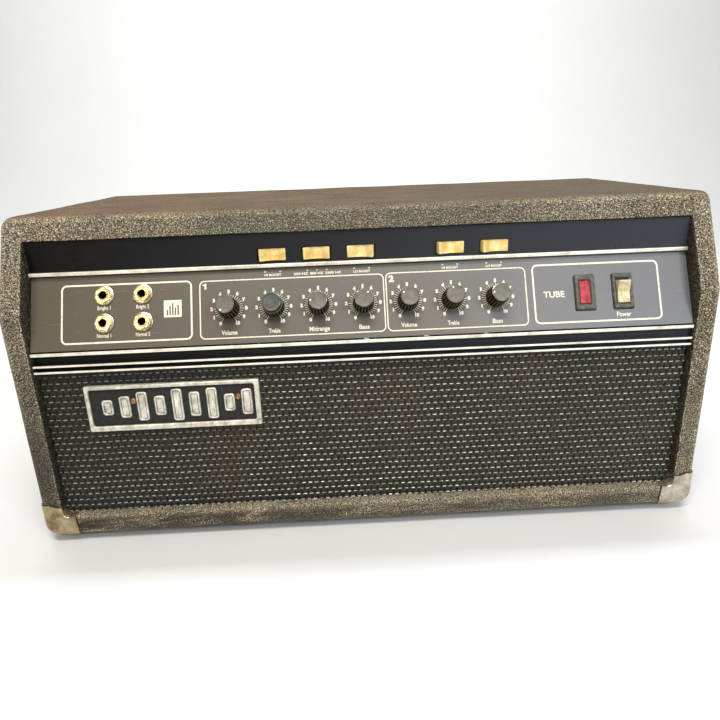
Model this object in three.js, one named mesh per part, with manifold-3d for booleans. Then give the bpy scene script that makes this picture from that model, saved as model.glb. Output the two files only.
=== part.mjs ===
// Tube bass amplifier head in a covered plywood cabinet, millimetres, +Z up.
// The front faces -Y, X runs to the right seen from the front, z = 0 is the underside of the feet.
import * as THREE from "three";
import { mergeVertices } from "three/addons/utils/BufferGeometryUtils.js";
import Module from "manifold-3d";

const wasm = await Module();
wasm.setup();

// ---------------------------------------------------------------- driving dimensions
const GAP = 0.3;              // left between pieces that touch
const WIDTH = 610;            // cabinet, over the covering
const DEPTH = 302;
const Y_SHIFT = 1.72;         // centres the overall box, because the knobs stand out at the front
const FOOT_H = 8;
const Z_LOW = FOOT_H;         // underside of the cabinet
const Z_TOP = 296;            // top of the cabinet
const WALL_X = 19.2;          // side boards
const WALL_LOW = 19.7;        // bottom board
const WALL_TOP = 20.3;        // top board
const CORNER_R = 12.5;        // lower long edges of the cabinet
const TOP_R = 9.5;            // upper long edges
const FRONT_R = 6;            // round-over of the front edges
const BACK_R = 4;
const LIP_R = 2.2;            // round-over of the opening's edge
const Z_BEND = 216.5;         // the front leans back above this height
const LEAN = 25.5;            // degrees, of the upper front
const Y_FRONT = -DEPTH / 2;
const Y_BACK = DEPTH / 2;
const X_IN = WIDTH / 2 - WALL_X;
const Z_IN_LOW = Z_LOW + WALL_LOW;
const Z_IN_TOP = Z_TOP - WALL_TOP;
const SPAN = X_IN - 0.5;      // half width of what fills the opening

const PANEL_LEAN = 25.5;      // degrees, of the control panel
const PANEL_Y = Y_FRONT + 6.66;   // a point on the panel's front face, v = 0
const PANEL_Z = 193.44;
const PANEL_V0 = -7.2;        // lower and upper edge along the slope
const PANEL_V1 = 57.3;
const PANEL_T = 2;

const KNOB_COUNT = 7;
const KNOB_PITCH = 38.57;
const KNOB_X_MID = -1.3;
const KNOB_V = 23.6;
const KNOB_R = 8.9;
const KNOB_CAP_R = 7.8;
const KNOB_FLUTE = 0.7;
const KNOB_H = 20.5;
const KNOB_NAMES = [
  "knob_volume_1", "knob_treble_1", "knob_mid_1", "knob_bass_1",
  "knob_volume_2", "knob_treble_2", "knob_bass_2",
];
const KNOB_AIM = [-145, 0, -90, 38, -56, -17, -88];   // degrees clockwise from up

const JACK_X = [-223.4, -190.5];
const JACK_V = [39.4, 15.2];
const JACK_BORE_R = 3.7;

const BAND_Y = Y_FRONT + 31;  // front face of the switch band
const BAND_T = 2;
const ROCKER_Z = 257.2;
const ROCKER_W = 23;
const ROCKER_H = 10;
const ROCKER_TILT = 10;       // degrees each way from level
const ROCKER_NAMES = ["rocker_high_1", "rocker_mid_1", "rocker_low_1", "rocker_high_2", "rocker_low_2"];
const ROCKER_KNOB = [1, 2, 3, 5, 6];       // the knob that each one stands over
const ROCKER_STATE = [1, 0, -1, 1, 1];     // 1 = left end out, -1 = right end out, 0 = level

const LAMP_X = 192.3;
const SWITCH_X = 225.7;
const LAMP_V = 24.3;
const BEZEL_W = 17.8;
const BEZEL_H = 31.0;
const POWER_TILT = 12;

const CLOTH_Y = Y_FRONT + 8;  // front of the grille cloth
const CLOTH_T = 1.2;
const CLOTH_Z1 = 167.2;

const DECK_Z = 66;            // top of the power amplifier chassis
const DECK_T = 1.6;

// ---------------------------------------------------------------- materials
function mat(color, roughness, metalness) {
  return new THREE.MeshStandardMaterial({ color, roughness, metalness });
}
const COVER = mat(0x3a3229, 0.8, 0.0);
const METAL_CAP = mat(0xa99c82, 0.35, 0.9);
const RUBBER = mat(0x191817, 0.85, 0.0);
const WOOD = mat(0x6e5a40, 0.8, 0.0);
const CLOTH = mat(0x3c3b37, 0.9, 0.0);
const CAST = mat(0x8f8d84, 0.4, 0.8);
const STRIP = mat(0xcfc8b4, 0.35, 0.7);
const DARK_TRIM = mat(0x1b1c1e, 0.5, 0.2);
const FACE = mat(0x77756f, 0.55, 0.3);
const BLACK = mat(0x1a1a1b, 0.45, 0.0);
const CREAM = mat(0xe6cf88, 0.45, 0.0);
const RED = mat(0xc23a46, 0.25, 0.0);
const NICKEL = mat(0xb8a878, 0.3, 0.9);
const STEEL = mat(0x9a9c9c, 0.45, 0.8);
const BOARD = mat(0x9b7f3c, 0.6, 0.0);
const IRON = mat(0x1f2022, 0.6, 0.3);
const GLASS = mat(0xb9bdb8, 0.1, 0.0);

// ---------------------------------------------------------------- solids
function solid(geometry) {
  const g = geometry.clone();
  g.deleteAttribute("normal");
  g.deleteAttribute("uv");
  const m = mergeVertices(g, 1e-4);
  return new wasm.Manifold(new wasm.Mesh({
    numProp: 3,
    vertProperties: new Float32Array(m.attributes.position.array),
    triVerts: new Uint32Array(m.index.array),
  }));
}

function geometryOf(body) {
  const mesh = body.getMesh();
  const g = new THREE.BufferGeometry();
  g.setAttribute("position", new THREE.BufferAttribute(new Float32Array(mesh.vertProperties), 3));
  g.setIndex(new THREE.BufferAttribute(new Uint32Array(mesh.triVerts), 1));
  g.computeVertexNormals();
  return g;
}

function boxGeometry(x0, x1, y0, y1, z0, z1) {
  const g = new THREE.BoxGeometry(x1 - x0, y1 - y0, z1 - z0);
  g.translate((x0 + x1) / 2, (y0 + y1) / 2, (z0 + z1) / 2);
  return g;
}

function box(x0, x1, y0, y1, z0, z1) {
  return solid(boxGeometry(x0, x1, y0, y1, z0, z1));
}

// A round rod along local z, from z0 to z1.
function rod(r, z0, z1, x = 0, y = 0, sides = 16, r1 = r) {
  const g = new THREE.CylinderGeometry(r1, r, z1 - z0, sides);
  g.rotateX(Math.PI / 2);
  g.translate(x, y, (z0 + z1) / 2);
  return g;
}

function outline(points) {
  return new THREE.Shape(points.map(([a, b]) => new THREE.Vector2(a, b)));
}

// Straight extrusion of a closed outline along local z.
function prism(points, z0, z1) {
  const g = new THREE.ExtrudeGeometry(outline(points), { depth: z1 - z0, bevelEnabled: false });
  g.translate(0, 0, z0);
  return g;
}

// Outline given as (y, z), extruded along x.
function prismX(points, x0, x1) {
  const g = prism(points, x0, x1);
  const toX = new THREE.Matrix4().makeBasis(
    new THREE.Vector3(0, 1, 0), new THREE.Vector3(0, 0, 1), new THREE.Vector3(1, 0, 0));
  return g.applyMatrix4(toX);
}

// Outline given as (x, z), extruded along y.
function prismY(points, y0, y1) {
  const g = prism(points, -y1, -y0);
  const toY = new THREE.Matrix4().makeBasis(
    new THREE.Vector3(1, 0, 0), new THREE.Vector3(0, 0, 1), new THREE.Vector3(0, -1, 0));
  return g.applyMatrix4(toY);
}

// A flat plate with holes, lying across z or across y.
function plateZ(points, z0, z1, holes) {
  let body = solid(prism(points, z0, z1));
  for (const h of holes) {
    body = body.subtract(solid(prism(h, z0 - 1, z1 + 1)));
  }
  return body;
}

function plateY(points, y0, y1, holes) {
  let body = solid(prismY(points, y0, y1));
  for (const h of holes) {
    body = body.subtract(solid(prismY(h, y0 - 1, y1 + 1)));
  }
  return body;
}

function circle(cx, cy, r, n, turn = 0) {
  const pts = [];
  for (let i = 0; i < n; i++) {
    const a = turn + (2 * Math.PI * i) / n;
    pts.push([cx + r * Math.cos(a), cy + r * Math.sin(a)]);
  }
  return pts;
}

function rect(x0, x1, y0, y1) {
  return [[x0, y0], [x1, y0], [x1, y1], [x0, y1]];
}

function roundedRect(x0, x1, y0, y1, r, n = 3) {
  const pts = [];
  const corners = [[x1 - r, y0 + r, -90], [x1 - r, y1 - r, 0], [x0 + r, y1 - r, 90], [x0 + r, y0 + r, 180]];
  for (const [cx, cy, from] of corners) {
    for (let i = 0; i <= n; i++) {
      const a = THREE.MathUtils.degToRad(from + (90 * i) / n);
      pts.push([cx + r * Math.cos(a), cy + r * Math.sin(a)]);
    }
  }
  return pts;
}

// Joins rings of equal length into a closed skin. Each ring lists the right half from the bottom
// to the top and then the left half back down, so the end faces close rung by rung.
function loft(rings) {
  const n = rings[0].length;
  const pos = rings.flat(2);
  const index = [];
  for (let k = 0; k + 1 < rings.length; k++) {
    for (let i = 0; i < n; i++) {
      const a = k * n + i;
      const b = k * n + ((i + 1) % n);
      index.push(a, b, a + n, b, b + n, a + n);
    }
  }
  const last = (rings.length - 1) * n;
  for (let i = 0; i + 1 < n / 2; i++) {
    const r0 = i;
    const r1 = i + 1;
    const l0 = n - 1 - i;
    const l1 = n - 2 - i;
    index.push(r0, l0, r1, l0, l1, r1);
    index.push(last + r0, last + r1, last + l0, last + l0, last + r1, last + l1);
  }
  const g = new THREE.BufferGeometry();
  g.setAttribute("position", new THREE.BufferAttribute(new Float32Array(pos), 3));
  g.setIndex(index);
  const body = solid(g);
  return body.volume() > 0 ? body : solid(flipped(g));
}

function flipped(g) {
  const f = g.clone();
  const a = Array.from(f.index.array);
  for (let i = 0; i < a.length; i += 3) {
    [a[i], a[i + 1]] = [a[i + 1], a[i]];
  }
  f.setIndex(a);
  return f;
}

const object = new THREE.Group();

function add(name, shape, material, parent = object) {
  const geometry = shape.isBufferGeometry ? shape : geometryOf(shape);
  const mesh = new THREE.Mesh(geometry, material);
  mesh.name = name;
  parent.add(mesh);
  return mesh;
}

// ---------------------------------------------------------------- cabinet
const frontAt = (z) => Y_FRONT + Math.max(0, z - Z_BEND) * Math.tan(THREE.MathUtils.degToRad(LEAN));

// Outer body of the cabinet, grown outwards by off.
function cabinetBody(off) {
  const half = WIDTH / 2 + off;
  const low = Z_LOW - off;
  const top = Z_TOP + off;
  const ring = (inset, y, leaning) => {
    const r = CORNER_R + off - inset;
    const rt = TOP_R + off - inset;
    const right = [];
    for (let i = 0; i <= 5; i++) {
      const a = THREE.MathUtils.degToRad(-90 + 18 * i);
      right.push([half - inset - r + r * Math.cos(a), low + inset + r + r * Math.sin(a)]);
    }
    right.push([half - inset, Z_BEND]);
    for (let i = 0; i <= 5; i++) {
      const a = THREE.MathUtils.degToRad(18 * i);
      right.push([half - inset - rt + rt * Math.cos(a), top - inset - rt + rt * Math.sin(a)]);
    }
    const left = right.map(([x, z]) => [-x, z]).reverse();
    return right.concat(left).map(([x, z]) => [x, y + (leaning ? frontAt(z) - Y_FRONT : 0), z]);
  };
  const rings = [];
  const rf = FRONT_R + off;
  for (const t of [0, 30, 60, 90]) {
    const a = THREE.MathUtils.degToRad(t);
    rings.push(ring(rf * (1 - Math.sin(a)), Y_FRONT - off + rf * (1 - Math.cos(a)), true));
  }
  const rb = BACK_R + off;
  for (const t of [90, 45, 0]) {
    const a = THREE.MathUtils.degToRad(t);
    rings.push(ring(rb * (1 - Math.sin(a)), Y_BACK + off - rb * (1 - Math.cos(a)), false));
  }
  return loft(rings);
}

// The opening that runs through the cabinet, flared at the front where the covering turns in.
function openingBody() {
  const ring = (out, y, leaning) => {
    const right = [[X_IN + out, Z_IN_LOW - out], [X_IN + out, Z_BEND], [X_IN + out, Z_IN_TOP + out]];
    const left = right.map(([x, z]) => [-x, z]).reverse();
    return right.concat(left).map(([x, z]) => [x, y + (leaning ? frontAt(z) - Y_FRONT : 0), z]);
  };
  const rings = [ring(LIP_R, Y_FRONT - 10, true)];
  for (const t of [0, 30, 60, 90]) {
    const a = THREE.MathUtils.degToRad(t);
    rings.push(ring(LIP_R * (1 - Math.sin(a)), Y_FRONT + LIP_R * (1 - Math.cos(a)), true));
  }
  rings.push(ring(0, Y_BACK + 5, false));
  return loft(rings);
}

const shell = cabinetBody(0).subtract(openingBody());
const CUT = X_IN;
const FAR = 400;
add("cabinet_top", shell.intersect(box(-CUT + 0.15, CUT - 0.15, -FAR, FAR, 250, FAR)), COVER);
add("cabinet_bottom", shell.intersect(box(-CUT + 0.15, CUT - 0.15, -FAR, FAR, 0, 60)), COVER);
add("cabinet_left_side", shell.intersect(box(-FAR, -CUT - 0.15, -FAR, FAR, 0, FAR)), COVER);
add("cabinet_right_side", shell.intersect(box(CUT + 0.15, FAR, -FAR, FAR, 0, FAR)), COVER);

// ---------------------------------------------------------------- metal corners and feet
const CAP_REACH = 32;         // along the side, the bottom and the front
const CAP_RISE = 35;
const capSkin = cabinetBody(1.5).subtract(cabinetBody(0.25));
for (const [sx, xName] of [[-1, "left"], [1, "right"]]) {
  for (const [sy, yName] of [[-1, "front"], [1, "rear"]]) {
    const x0 = sx * (WIDTH / 2 - CAP_REACH);
    const x1 = sx * (WIDTH / 2 + 5);
    const y0 = sy * (DEPTH / 2 - CAP_REACH);
    const y1 = sy * (DEPTH / 2 + 5);
    let cap = capSkin.intersect(box(
      Math.min(x0, x1), Math.max(x0, x1), Math.min(y0, y1), Math.max(y0, y1), 0, Z_LOW + CAP_RISE));
    cap = cap.subtract(box(-X_IN, X_IN, -FAR, FAR, Z_IN_LOW, 100));
    add(`corner_${yName}_${xName}`, cap, METAL_CAP);
    const foot = new THREE.LatheGeometry([
      new THREE.Vector2(0, 0), new THREE.Vector2(16, 0), new THREE.Vector2(17.5, 1.2),
      new THREE.Vector2(19, FOOT_H - 0.3), new THREE.Vector2(0, FOOT_H - 0.3),
    ], 20);
    foot.rotateX(Math.PI / 2);
    const f = add(`foot_${yName}_${xName}`, solid(foot), RUBBER);
    f.position.set(sx * 248, sy * 94, 0);
  }
}

// ---------------------------------------------------------------- side handles
const HANDLE_Z = 168;
const HANDLE_W = 28;
const HANDLE_HALF = 116;      // from the middle to the end of a pad
const HANDLE_GAP = 13;        // finger room under the strap
const HANDLE_T = 5;

function handleOutline() {
  const inner = [];
  const outer = [];
  for (let i = 0; i <= 12; i++) {
    const y = -80 + (160 * i) / 12;
    const rise = HANDLE_GAP * (0.5 + 0.5 * Math.cos((Math.PI * y) / 80));
    inner.push([WIDTH / 2 + GAP + Math.min(HANDLE_GAP, rise * 1.25), y]);
    outer.push([WIDTH / 2 + GAP + Math.min(HANDLE_GAP, rise * 1.25) + HANDLE_T, y]);
  }
  const x0 = WIDTH / 2 + GAP;
  return [[x0, -HANDLE_HALF], [x0 + HANDLE_T - 1.5, -HANDLE_HALF], [x0 + HANDLE_T, -HANDLE_HALF + 3],
    ...outer, [x0 + HANDLE_T, HANDLE_HALF - 3], [x0 + HANDLE_T - 1.5, HANDLE_HALF],
    [x0, HANDLE_HALF], ...inner.reverse()];
}
const handle = prism(handleOutline(), HANDLE_Z - HANDLE_W / 2, HANDLE_Z + HANDLE_W / 2);
add("handle_right", solid(handle), RUBBER);
const handleLeft = handle.clone();
handleLeft.rotateZ(Math.PI);
add("handle_left", solid(handleLeft), RUBBER);

// ---------------------------------------------------------------- grille
const BOARD_T = 9;
add("grille_cloth", boxGeometry(-SPAN, SPAN, CLOTH_Y, CLOTH_Y + CLOTH_T, Z_IN_LOW + 0.5, CLOTH_Z1), CLOTH);
const yBoard = CLOTH_Y + CLOTH_T + GAP;
const bays = [];
for (let i = 0; i < 10; i++) {
  for (let j = 0; j < 2; j++) {
    const x = -270 + 54.6 * i;
    const z = 42 + 58 * j;
    bays.push(rect(x, x + 48.6, z, z + 50));
  }
}
const boardOutline = rect(-SPAN, SPAN, Z_IN_LOW + 0.5, CLOTH_Z1);
add("grille_board", plateY(boardOutline, yBoard, yBoard + BOARD_T, bays), WOOD);

const BADGE = { x0: -248, x1: -96, z0: 110.5, z1: 153.3 };
const yBadge = CLOTH_Y - GAP;
let badge = solid(prismY(roundedRect(BADGE.x0, BADGE.x1, BADGE.z0, BADGE.z1, 1.2, 2), yBadge - 4, yBadge));
badge = badge.subtract(box(BADGE.x0 + 3.2, BADGE.x1 - 3.2, -FAR, yBadge - 1.8, BADGE.z0 + 4.6, BADGE.z1 - 3.0));
const BAR_HEIGHTS = [9, 16, 24, 13, 19, 28, 21, 12, 26, 17, 10];
BAR_HEIGHTS.forEach((h, i) => {
  const x = BADGE.x0 + 21 + i * 11;
  const z = (BADGE.z0 + BADGE.z1) / 2 + 0.8;
  badge = badge.add(box(x - 2.9, x + 2.9, yBadge - 3.4, yBadge - 1.2, z - h / 2, z + h / 2));
});
add("badge", badge, CAST);

// ---------------------------------------------------------------- trim
const yTrim = Y_FRONT + 2;
const yGroove = yTrim + 5.6;  // bottom of the grooves between the three ribs
const lowTrim = [
  [yTrim + 7.8, 167.5], [yTrim, 167.5], [yTrim, 169.2], [yGroove, 169.4], [yGroove, 172.8],
  [yTrim, 173.0], [yTrim, 174.7], [yGroove, 174.9], [yGroove, 182.7], [yTrim, 183.0],
  [yTrim, 185.7], [yTrim + 3.6, 185.7], [yTrim + 3.6, 184.2], [yTrim + 7.8, 184.2],
];
add("lower_trim", solid(prismX([...lowTrim].reverse(), -SPAN, SPAN)), STRIP);
const yUp = Y_FRONT + 27.6;
add("upper_trim", solid(prismX([
  [yUp, 246.9], [yUp + 0.4, 246.5], [yUp + 3.1, 246.5], [yUp + 3.1, 249.6], [yUp + 0.4, 249.6],
  [yUp, 249.2],
], -SPAN, SPAN)), STRIP);

// ---------------------------------------------------------------- switch band and tone rockers
const knobX = (i) => KNOB_X_MID + KNOB_PITCH * (i - 3);
const bandZ0 = 246.5;
const bandZ1 = Z_IN_TOP - 0.4;
let band = box(-SPAN, SPAN, BAND_Y, BAND_Y + BAND_T, bandZ0, bandZ1);
const slotW = ROCKER_W / 2 + 1.0;
const slotH = ROCKER_H / 2 + 0.5;
for (const k of ROCKER_KNOB) {
  const x = knobX(k);
  band = band.add(box(x - slotW - 1.5, x + slotW + 1.5, BAND_Y + 1, BAND_Y + 14,
    ROCKER_Z - slotH - 1.5, ROCKER_Z + slotH + 1.5));
}
for (const k of ROCKER_KNOB) {
  const x = knobX(k);
  band = band.subtract(box(x - slotW, x + slotW, BAND_Y - 5, BAND_Y + 12.5,
    ROCKER_Z - slotH, ROCKER_Z + slotH));
}
add("switch_band", band, BLACK);

// A rocker's section across its pivot: shallow valley in front, rounded belly behind.
function rockerOutline(half, proud) {
  return [
    [-half, 2.5], [-half, -proud], [-half + 1, -proud - 0.4], [-half * 0.45, -proud * 0.55],
    [0, -proud * 0.32], [half * 0.45, -proud * 0.55], [half - 1, -proud - 0.4], [half, -proud],
    [half, 2.5], [half * 0.45, 6.5], [-half * 0.45, 6.5],
  ];
}
const ROCKER_PIVOT = 2.5;     // behind the face
ROCKER_KNOB.forEach((k, i) => {
  const g = prism([...rockerOutline(ROCKER_W / 2, 5.2)].reverse().map(([a, b]) => [-a, b]),
    -ROCKER_H / 2, ROCKER_H / 2);
  const mesh = add(ROCKER_NAMES[i], solid(g), CREAM);
  mesh.position.set(knobX(k), BAND_Y + ROCKER_PIVOT, ROCKER_Z);
  mesh.rotation.z = THREE.MathUtils.degToRad(ROCKER_TILT * ROCKER_STATE[i]);
});

// ---------------------------------------------------------------- control panel
// In the panel's own frame x runs right, y up the slope and z out of the face.
const panel = new THREE.Group();
panel.position.set(0, PANEL_Y, PANEL_Z);
panel.rotation.x = Math.PI / 2 - THREE.MathUtils.degToRad(PANEL_LEAN);
object.add(panel);

const panelHoles = [];
for (let i = 0; i < KNOB_COUNT; i++) {
  panelHoles.push(circle(knobX(i), KNOB_V, 3.6, 12));
}
for (const x of JACK_X) {
  for (const v of JACK_V) {
    panelHoles.push(circle(x, v, 5.1, 16));
  }
}
const cutW = BEZEL_W / 2 - 1.4;
const cutH = BEZEL_H / 2 - 1.4;
for (const x of [LAMP_X, SWITCH_X]) {
  panelHoles.push(rect(x - cutW, x + cutW, LAMP_V - cutH, LAMP_V + cutH));
}
const panelOutline = rect(-SPAN, SPAN, PANEL_V0, PANEL_V1);
add("control_panel", plateZ(panelOutline, -PANEL_T, 0, panelHoles), FACE, panel);

// Knobs: fluted body, shallow cap with a pointer notch, and the shaft that turns in the control.
for (let i = 0; i < KNOB_COUNT; i++) {
  const flutes = 16;
  const ring = [];
  for (let k = 0; k < flutes * 2; k++) {
    const a = (Math.PI * k) / flutes;
    const r = k % 2 ? KNOB_R - KNOB_FLUTE : KNOB_R;
    ring.push([r * Math.cos(a), r * Math.sin(a)]);
  }
  let knob = solid(prism(ring, 0.6, KNOB_H - 2.4));
  knob = knob.add(solid(rod(KNOB_CAP_R + 0.3, KNOB_H - 3, KNOB_H - 0.8, 0, 0, 20, KNOB_CAP_R)));
  knob = knob.add(solid(rod(KNOB_CAP_R - 0.6, KNOB_H - 2, KNOB_H, 0, 0, 20)));
  knob = knob.add(solid(rod(3.0, -11, 2, 0, 0, 12)));
  knob = knob.subtract(box(-0.7, 0.7, 3.2, 6.6, KNOB_H - 0.7, KNOB_H + 5));
  const mesh = add(KNOB_NAMES[i], knob, BLACK, panel);
  mesh.position.set(knobX(i), KNOB_V, 0);
  mesh.rotation.z = THREE.MathUtils.degToRad(-KNOB_AIM[i]);
}

// Circuit board that carries the seven controls.
let controls = box(knobX(0) - 16, knobX(6) + 16, 8, 48, -20, -18.4);
for (let i = 0; i < KNOB_COUNT; i++) {
  controls = controls.add(solid(rod(8.5, -18.8, -PANEL_T - 4, knobX(i), KNOB_V, 16)));
  controls = controls.add(solid(rod(4.8, -7, -PANEL_T - GAP, knobX(i), KNOB_V, 16)));
  controls = controls.subtract(solid(rod(3.5, -12.5, 5, knobX(i), KNOB_V, 12)));
}
add("control_board", controls, BOARD, panel);

// Input jacks: body, threaded bushing through the panel, washer and hexagon nut.
let jackIndex = 0;
for (const v of JACK_V) {
  for (const x of JACK_X) {
    jackIndex += 1;
    let jack = box(-8, 8, -8.5, 8.5, -25, -PANEL_T - GAP);
    jack = jack.add(solid(rod(4.7, -5, 3.6, 0, 0, 16)));
    jack = jack.add(solid(rod(8.65, GAP, 1.1, 0, 0, 20)));
    jack = jack.add(solid(rod(7.2, 0.8, 3.2, 0, 0, 6)));
    jack = jack.subtract(solid(rod(JACK_BORE_R, -22, 6, 0, 0, 16)));
    const mesh = add(`input_jack_${jackIndex}`, jack, NICKEL, panel);
    mesh.position.set(x, v, 0);
  }
}

// Pilot lamp and power switch share one bezel size.
function bezel(openW, openH, depth) {
  const w = BEZEL_W / 2;
  const h = BEZEL_H / 2;
  let b = solid(prism(roundedRect(-w, w, -h, h, 1.2, 2), GAP, 1.8));
  b = b.add(box(-cutW + GAP, cutW - GAP, -cutH + GAP, cutH - GAP, -depth, 1));
  return b.subtract(box(-openW / 2, openW / 2, -openH / 2, openH / 2, -depth + 2, 5));
}
const lampBezel = add("pilot_bezel", bezel(9.8, 21.2, 16), BLACK, panel);
lampBezel.position.set(LAMP_X, LAMP_V, 0);
const lens = solid(prism(rect(-4.6, 4.6, -10.3, 10.3), -8, 1.2))
  .add(solid(prism(roundedRect(-4.2, 4.2, -9.9, 9.9, 1, 2), 1, 1.9)));
const lensMesh = add("pilot_lens", lens, RED, panel);
lensMesh.position.set(LAMP_X, LAMP_V, 0);

const switchBezel = add("power_bezel", bezel(11.4, 22.6, 18), BLACK, panel);
switchBezel.position.set(SWITCH_X, LAMP_V, 0);
const POWER_DEEP = 2.2;       // pivot of the power rocker behind the panel face
const powerMesh = add("power_rocker", solid(powerGeometry()), CREAM, panel);
powerMesh.position.set(SWITCH_X, LAMP_V, -POWER_DEEP);
powerMesh.rotation.x = THREE.MathUtils.degToRad(POWER_TILT);

// The power rocker's outline lies in the panel frame's y-z plane, its face towards +z: a flat
// lower half, and an upper half that rises to a nose.
function powerGeometry() {
  const pts = [
    [-4.5, -6.5], [4.5, -6.5], [9.9, -2.5], [9.9, 7.2], [9.2, 8.5], [8.4, 8.6], [0, 4.7],
    [-9.2, 6.7], [-9.9, 6.2], [-9.9, -2.5],
  ];
  return prismX(pts, -5.3, 5.3);
}

// ---------------------------------------------------------------- preamplifier chassis
const PRE_Z = 186.5;
const preX = SPAN - 6;
let pre = box(-preX, preX, -134, 100, PRE_Z, PRE_Z + 78);
pre = pre.subtract(box(-preX + 1.6, preX - 1.6, -200, 98.4, PRE_Z + 1.6, PRE_Z + 100));
pre = pre.subtract(solid(prismX([
  [-300, PRE_Z + 12], [-106, PRE_Z + 12], [-80, PRE_Z + 90], [-300, PRE_Z + 90],
].reverse(), -300, 300)));
add("preamp_chassis", pre, STEEL);

// ---------------------------------------------------------------- power amplifier chassis
const ampX = SPAN - 8;
const ampY0 = -124;
const ampY1 = 136;
let amp = box(-ampX, ampX, ampY0, ampY1, Z_IN_LOW + 0.5, DECK_Z);
amp = amp.subtract(box(-ampX + DECK_T, ampX - DECK_T, ampY0 + DECK_T, ampY1 - DECK_T, 0, DECK_Z - DECK_T));
const REAR_Z = 47;
const OUT_X = [60, 105];
const INLET_X = -205;
for (const x of OUT_X) {
  const hole = rod(5.1, 100, 200, 0, 0, 16);
  hole.rotateX(-Math.PI / 2);
  hole.translate(x, 0, REAR_Z);
  amp = amp.subtract(solid(hole));
}
amp = amp.subtract(box(INLET_X - 14.3, INLET_X + 14.3, 100, 200, REAR_Z - 10.3, REAR_Z + 10.3));
add("power_amp_chassis", amp, STEEL);

OUT_X.forEach((x, i) => {
  let jack = box(-8.5, 8.5, -8, 8, -25, -DECK_T - GAP);
  jack = jack.add(solid(rod(4.7, -5, 3.6, 0, 0, 16)));
  jack = jack.add(solid(rod(7.2, GAP, 2.6, 0, 0, 6)));
  jack = jack.subtract(solid(rod(JACK_BORE_R, -22, 6, 0, 0, 16)));
  const mesh = add(`speaker_jack_${i + 1}`, jack, NICKEL);
  mesh.position.set(x, ampY1, REAR_Z);
  mesh.rotation.x = -Math.PI / 2;
});

let inlet = box(-24, 24, -12, 12, GAP, 2.6);
inlet = inlet.add(box(-14, 14, -10, 10, -20, 1));
inlet = inlet.subtract(box(-12.2, 12.2, -8.4, 8.4, -16, 6));
for (const [x, y] of [[-7, -1.5], [0, 2.5], [7, -1.5]]) {
  inlet = inlet.add(box(x - 1, x + 1, y - 2, y + 2, -17, -7));
}
const inletMesh = add("mains_inlet", inlet, BLACK);
inletMesh.position.set(INLET_X, ampY1, REAR_Z);
inletMesh.rotation.x = -Math.PI / 2;

// ---------------------------------------------------------------- transformers, choke and valves
function transformer(w, d, h, stack) {
  const chamfer = 6;
  const bell = [
    [-w / 2 + chamfer, 0], [w / 2 - chamfer, 0], [w / 2 - chamfer / 2, h * 0.12],
    [w / 2 - chamfer / 2, h - chamfer], [w / 2 - 2 * chamfer, h - 2],
    [-w / 2 + 2 * chamfer, h - 2], [-w / 2 + chamfer / 2, h - chamfer], [-w / 2 + chamfer / 2, h * 0.12],
  ];
  const core = box(-w / 2, w / 2, -stack / 2, stack / 2, 0, h);
  return core.add(solid(prismY(bell, -d / 2, d / 2)));
}
const seat = DECK_Z + GAP;
const mains = add("mains_transformer", transformer(124, 112, 104, 62), IRON);
mains.position.set(-196, 14, seat);
const output = add("output_transformer", transformer(106, 104, 94, 50), IRON);
output.position.set(214, -28, seat);
const choke = add("choke", transformer(58, 56, 52, 28), IRON);
choke.position.set(126, 66, seat);

// Glass envelope on a moulded base, turned about its own axis.
function tube() {
  const profile = [
    [0, 0], [16, 0], [17, 1.5], [17, 22], [15.5, 24], [20, 28], [23.5, 36], [23.5, 88],
    [20.5, 98], [13, 106], [4, 109.5], [0, 110],
  ];
  const g = new THREE.LatheGeometry(profile.map(([r, z]) => new THREE.Vector2(r, z)), 14);
  g.rotateX(Math.PI / 2);
  return solid(g);
}
const TUBE_X = [-84, -24, 36];
const TUBE_Y = [-50, 18];
let tubeIndex = 0;
for (const y of TUBE_Y) {
  for (const x of TUBE_X) {
    tubeIndex += 1;
    const t = add(`power_tube_${tubeIndex}`, tube(), GLASS);
    t.position.set(x, y, seat);
  }
}

// ---------------------------------------------------------------- rear guard, rear panel and fan
const REAR_Y = 134.5;
const slots = [];
for (let i = 0; i < 26; i++) {
  for (let j = 0; j < 2; j++) {
    const x = -256 + i * 20.2;
    const z = 80 + j * 44;
    slots.push(rect(x, x + 7, z, z + 36));
  }
}
const guardOutline = rect(-SPAN, SPAN, DECK_Z + 1, 172);
add("rear_guard", plateY(guardOutline, REAR_Y, REAR_Y + 1.6, slots), DARK_TRIM);
add("rear_panel", boxGeometry(-SPAN, SPAN, REAR_Y, REAR_Y + 1.6, 172.4, Z_IN_TOP - 0.5), BLACK);

const FAN_X = 214;
const FAN_Z = 120;
const FAN_Y0 = 108;
const FAN_Y1 = REAR_Y - GAP;
let fan = plateY(roundedRect(-40, 40, -40, 40, 5, 2), FAN_Y0, FAN_Y1, [circle(0, 0, 37.5, 28)]);
fan = fan.add(box(-40, 40, FAN_Y0, FAN_Y0 + 2, -3, 3));
fan = fan.add(solid(prismY(circle(0, 0, 16, 16), FAN_Y0, FAN_Y0 + 3)));
const fanMesh = add("fan_frame", fan, BLACK);
fanMesh.position.set(FAN_X, 0, FAN_Z);

let rotor = solid(prismY(circle(0, 0, 16, 18), -8, 10));
for (let i = 0; i < 7; i++) {
  const blade = new THREE.BoxGeometry(20.4, 1.6, 20);
  blade.rotateX(THREE.MathUtils.degToRad(52));
  blade.translate(25.2, 1, 0);
  blade.rotateY((2 * Math.PI * i) / 7);
  rotor = rotor.add(solid(blade));
}
const rotorMesh = add("fan_rotor", rotor, DARK_TRIM);
rotorMesh.position.set(FAN_X, 121.5, FAN_Z);

object.position.y = Y_SHIFT;

export default object;
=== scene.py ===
"""Tube bass amplifier head: the looks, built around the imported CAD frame. Lengths below are millimetres."""
import math

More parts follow.
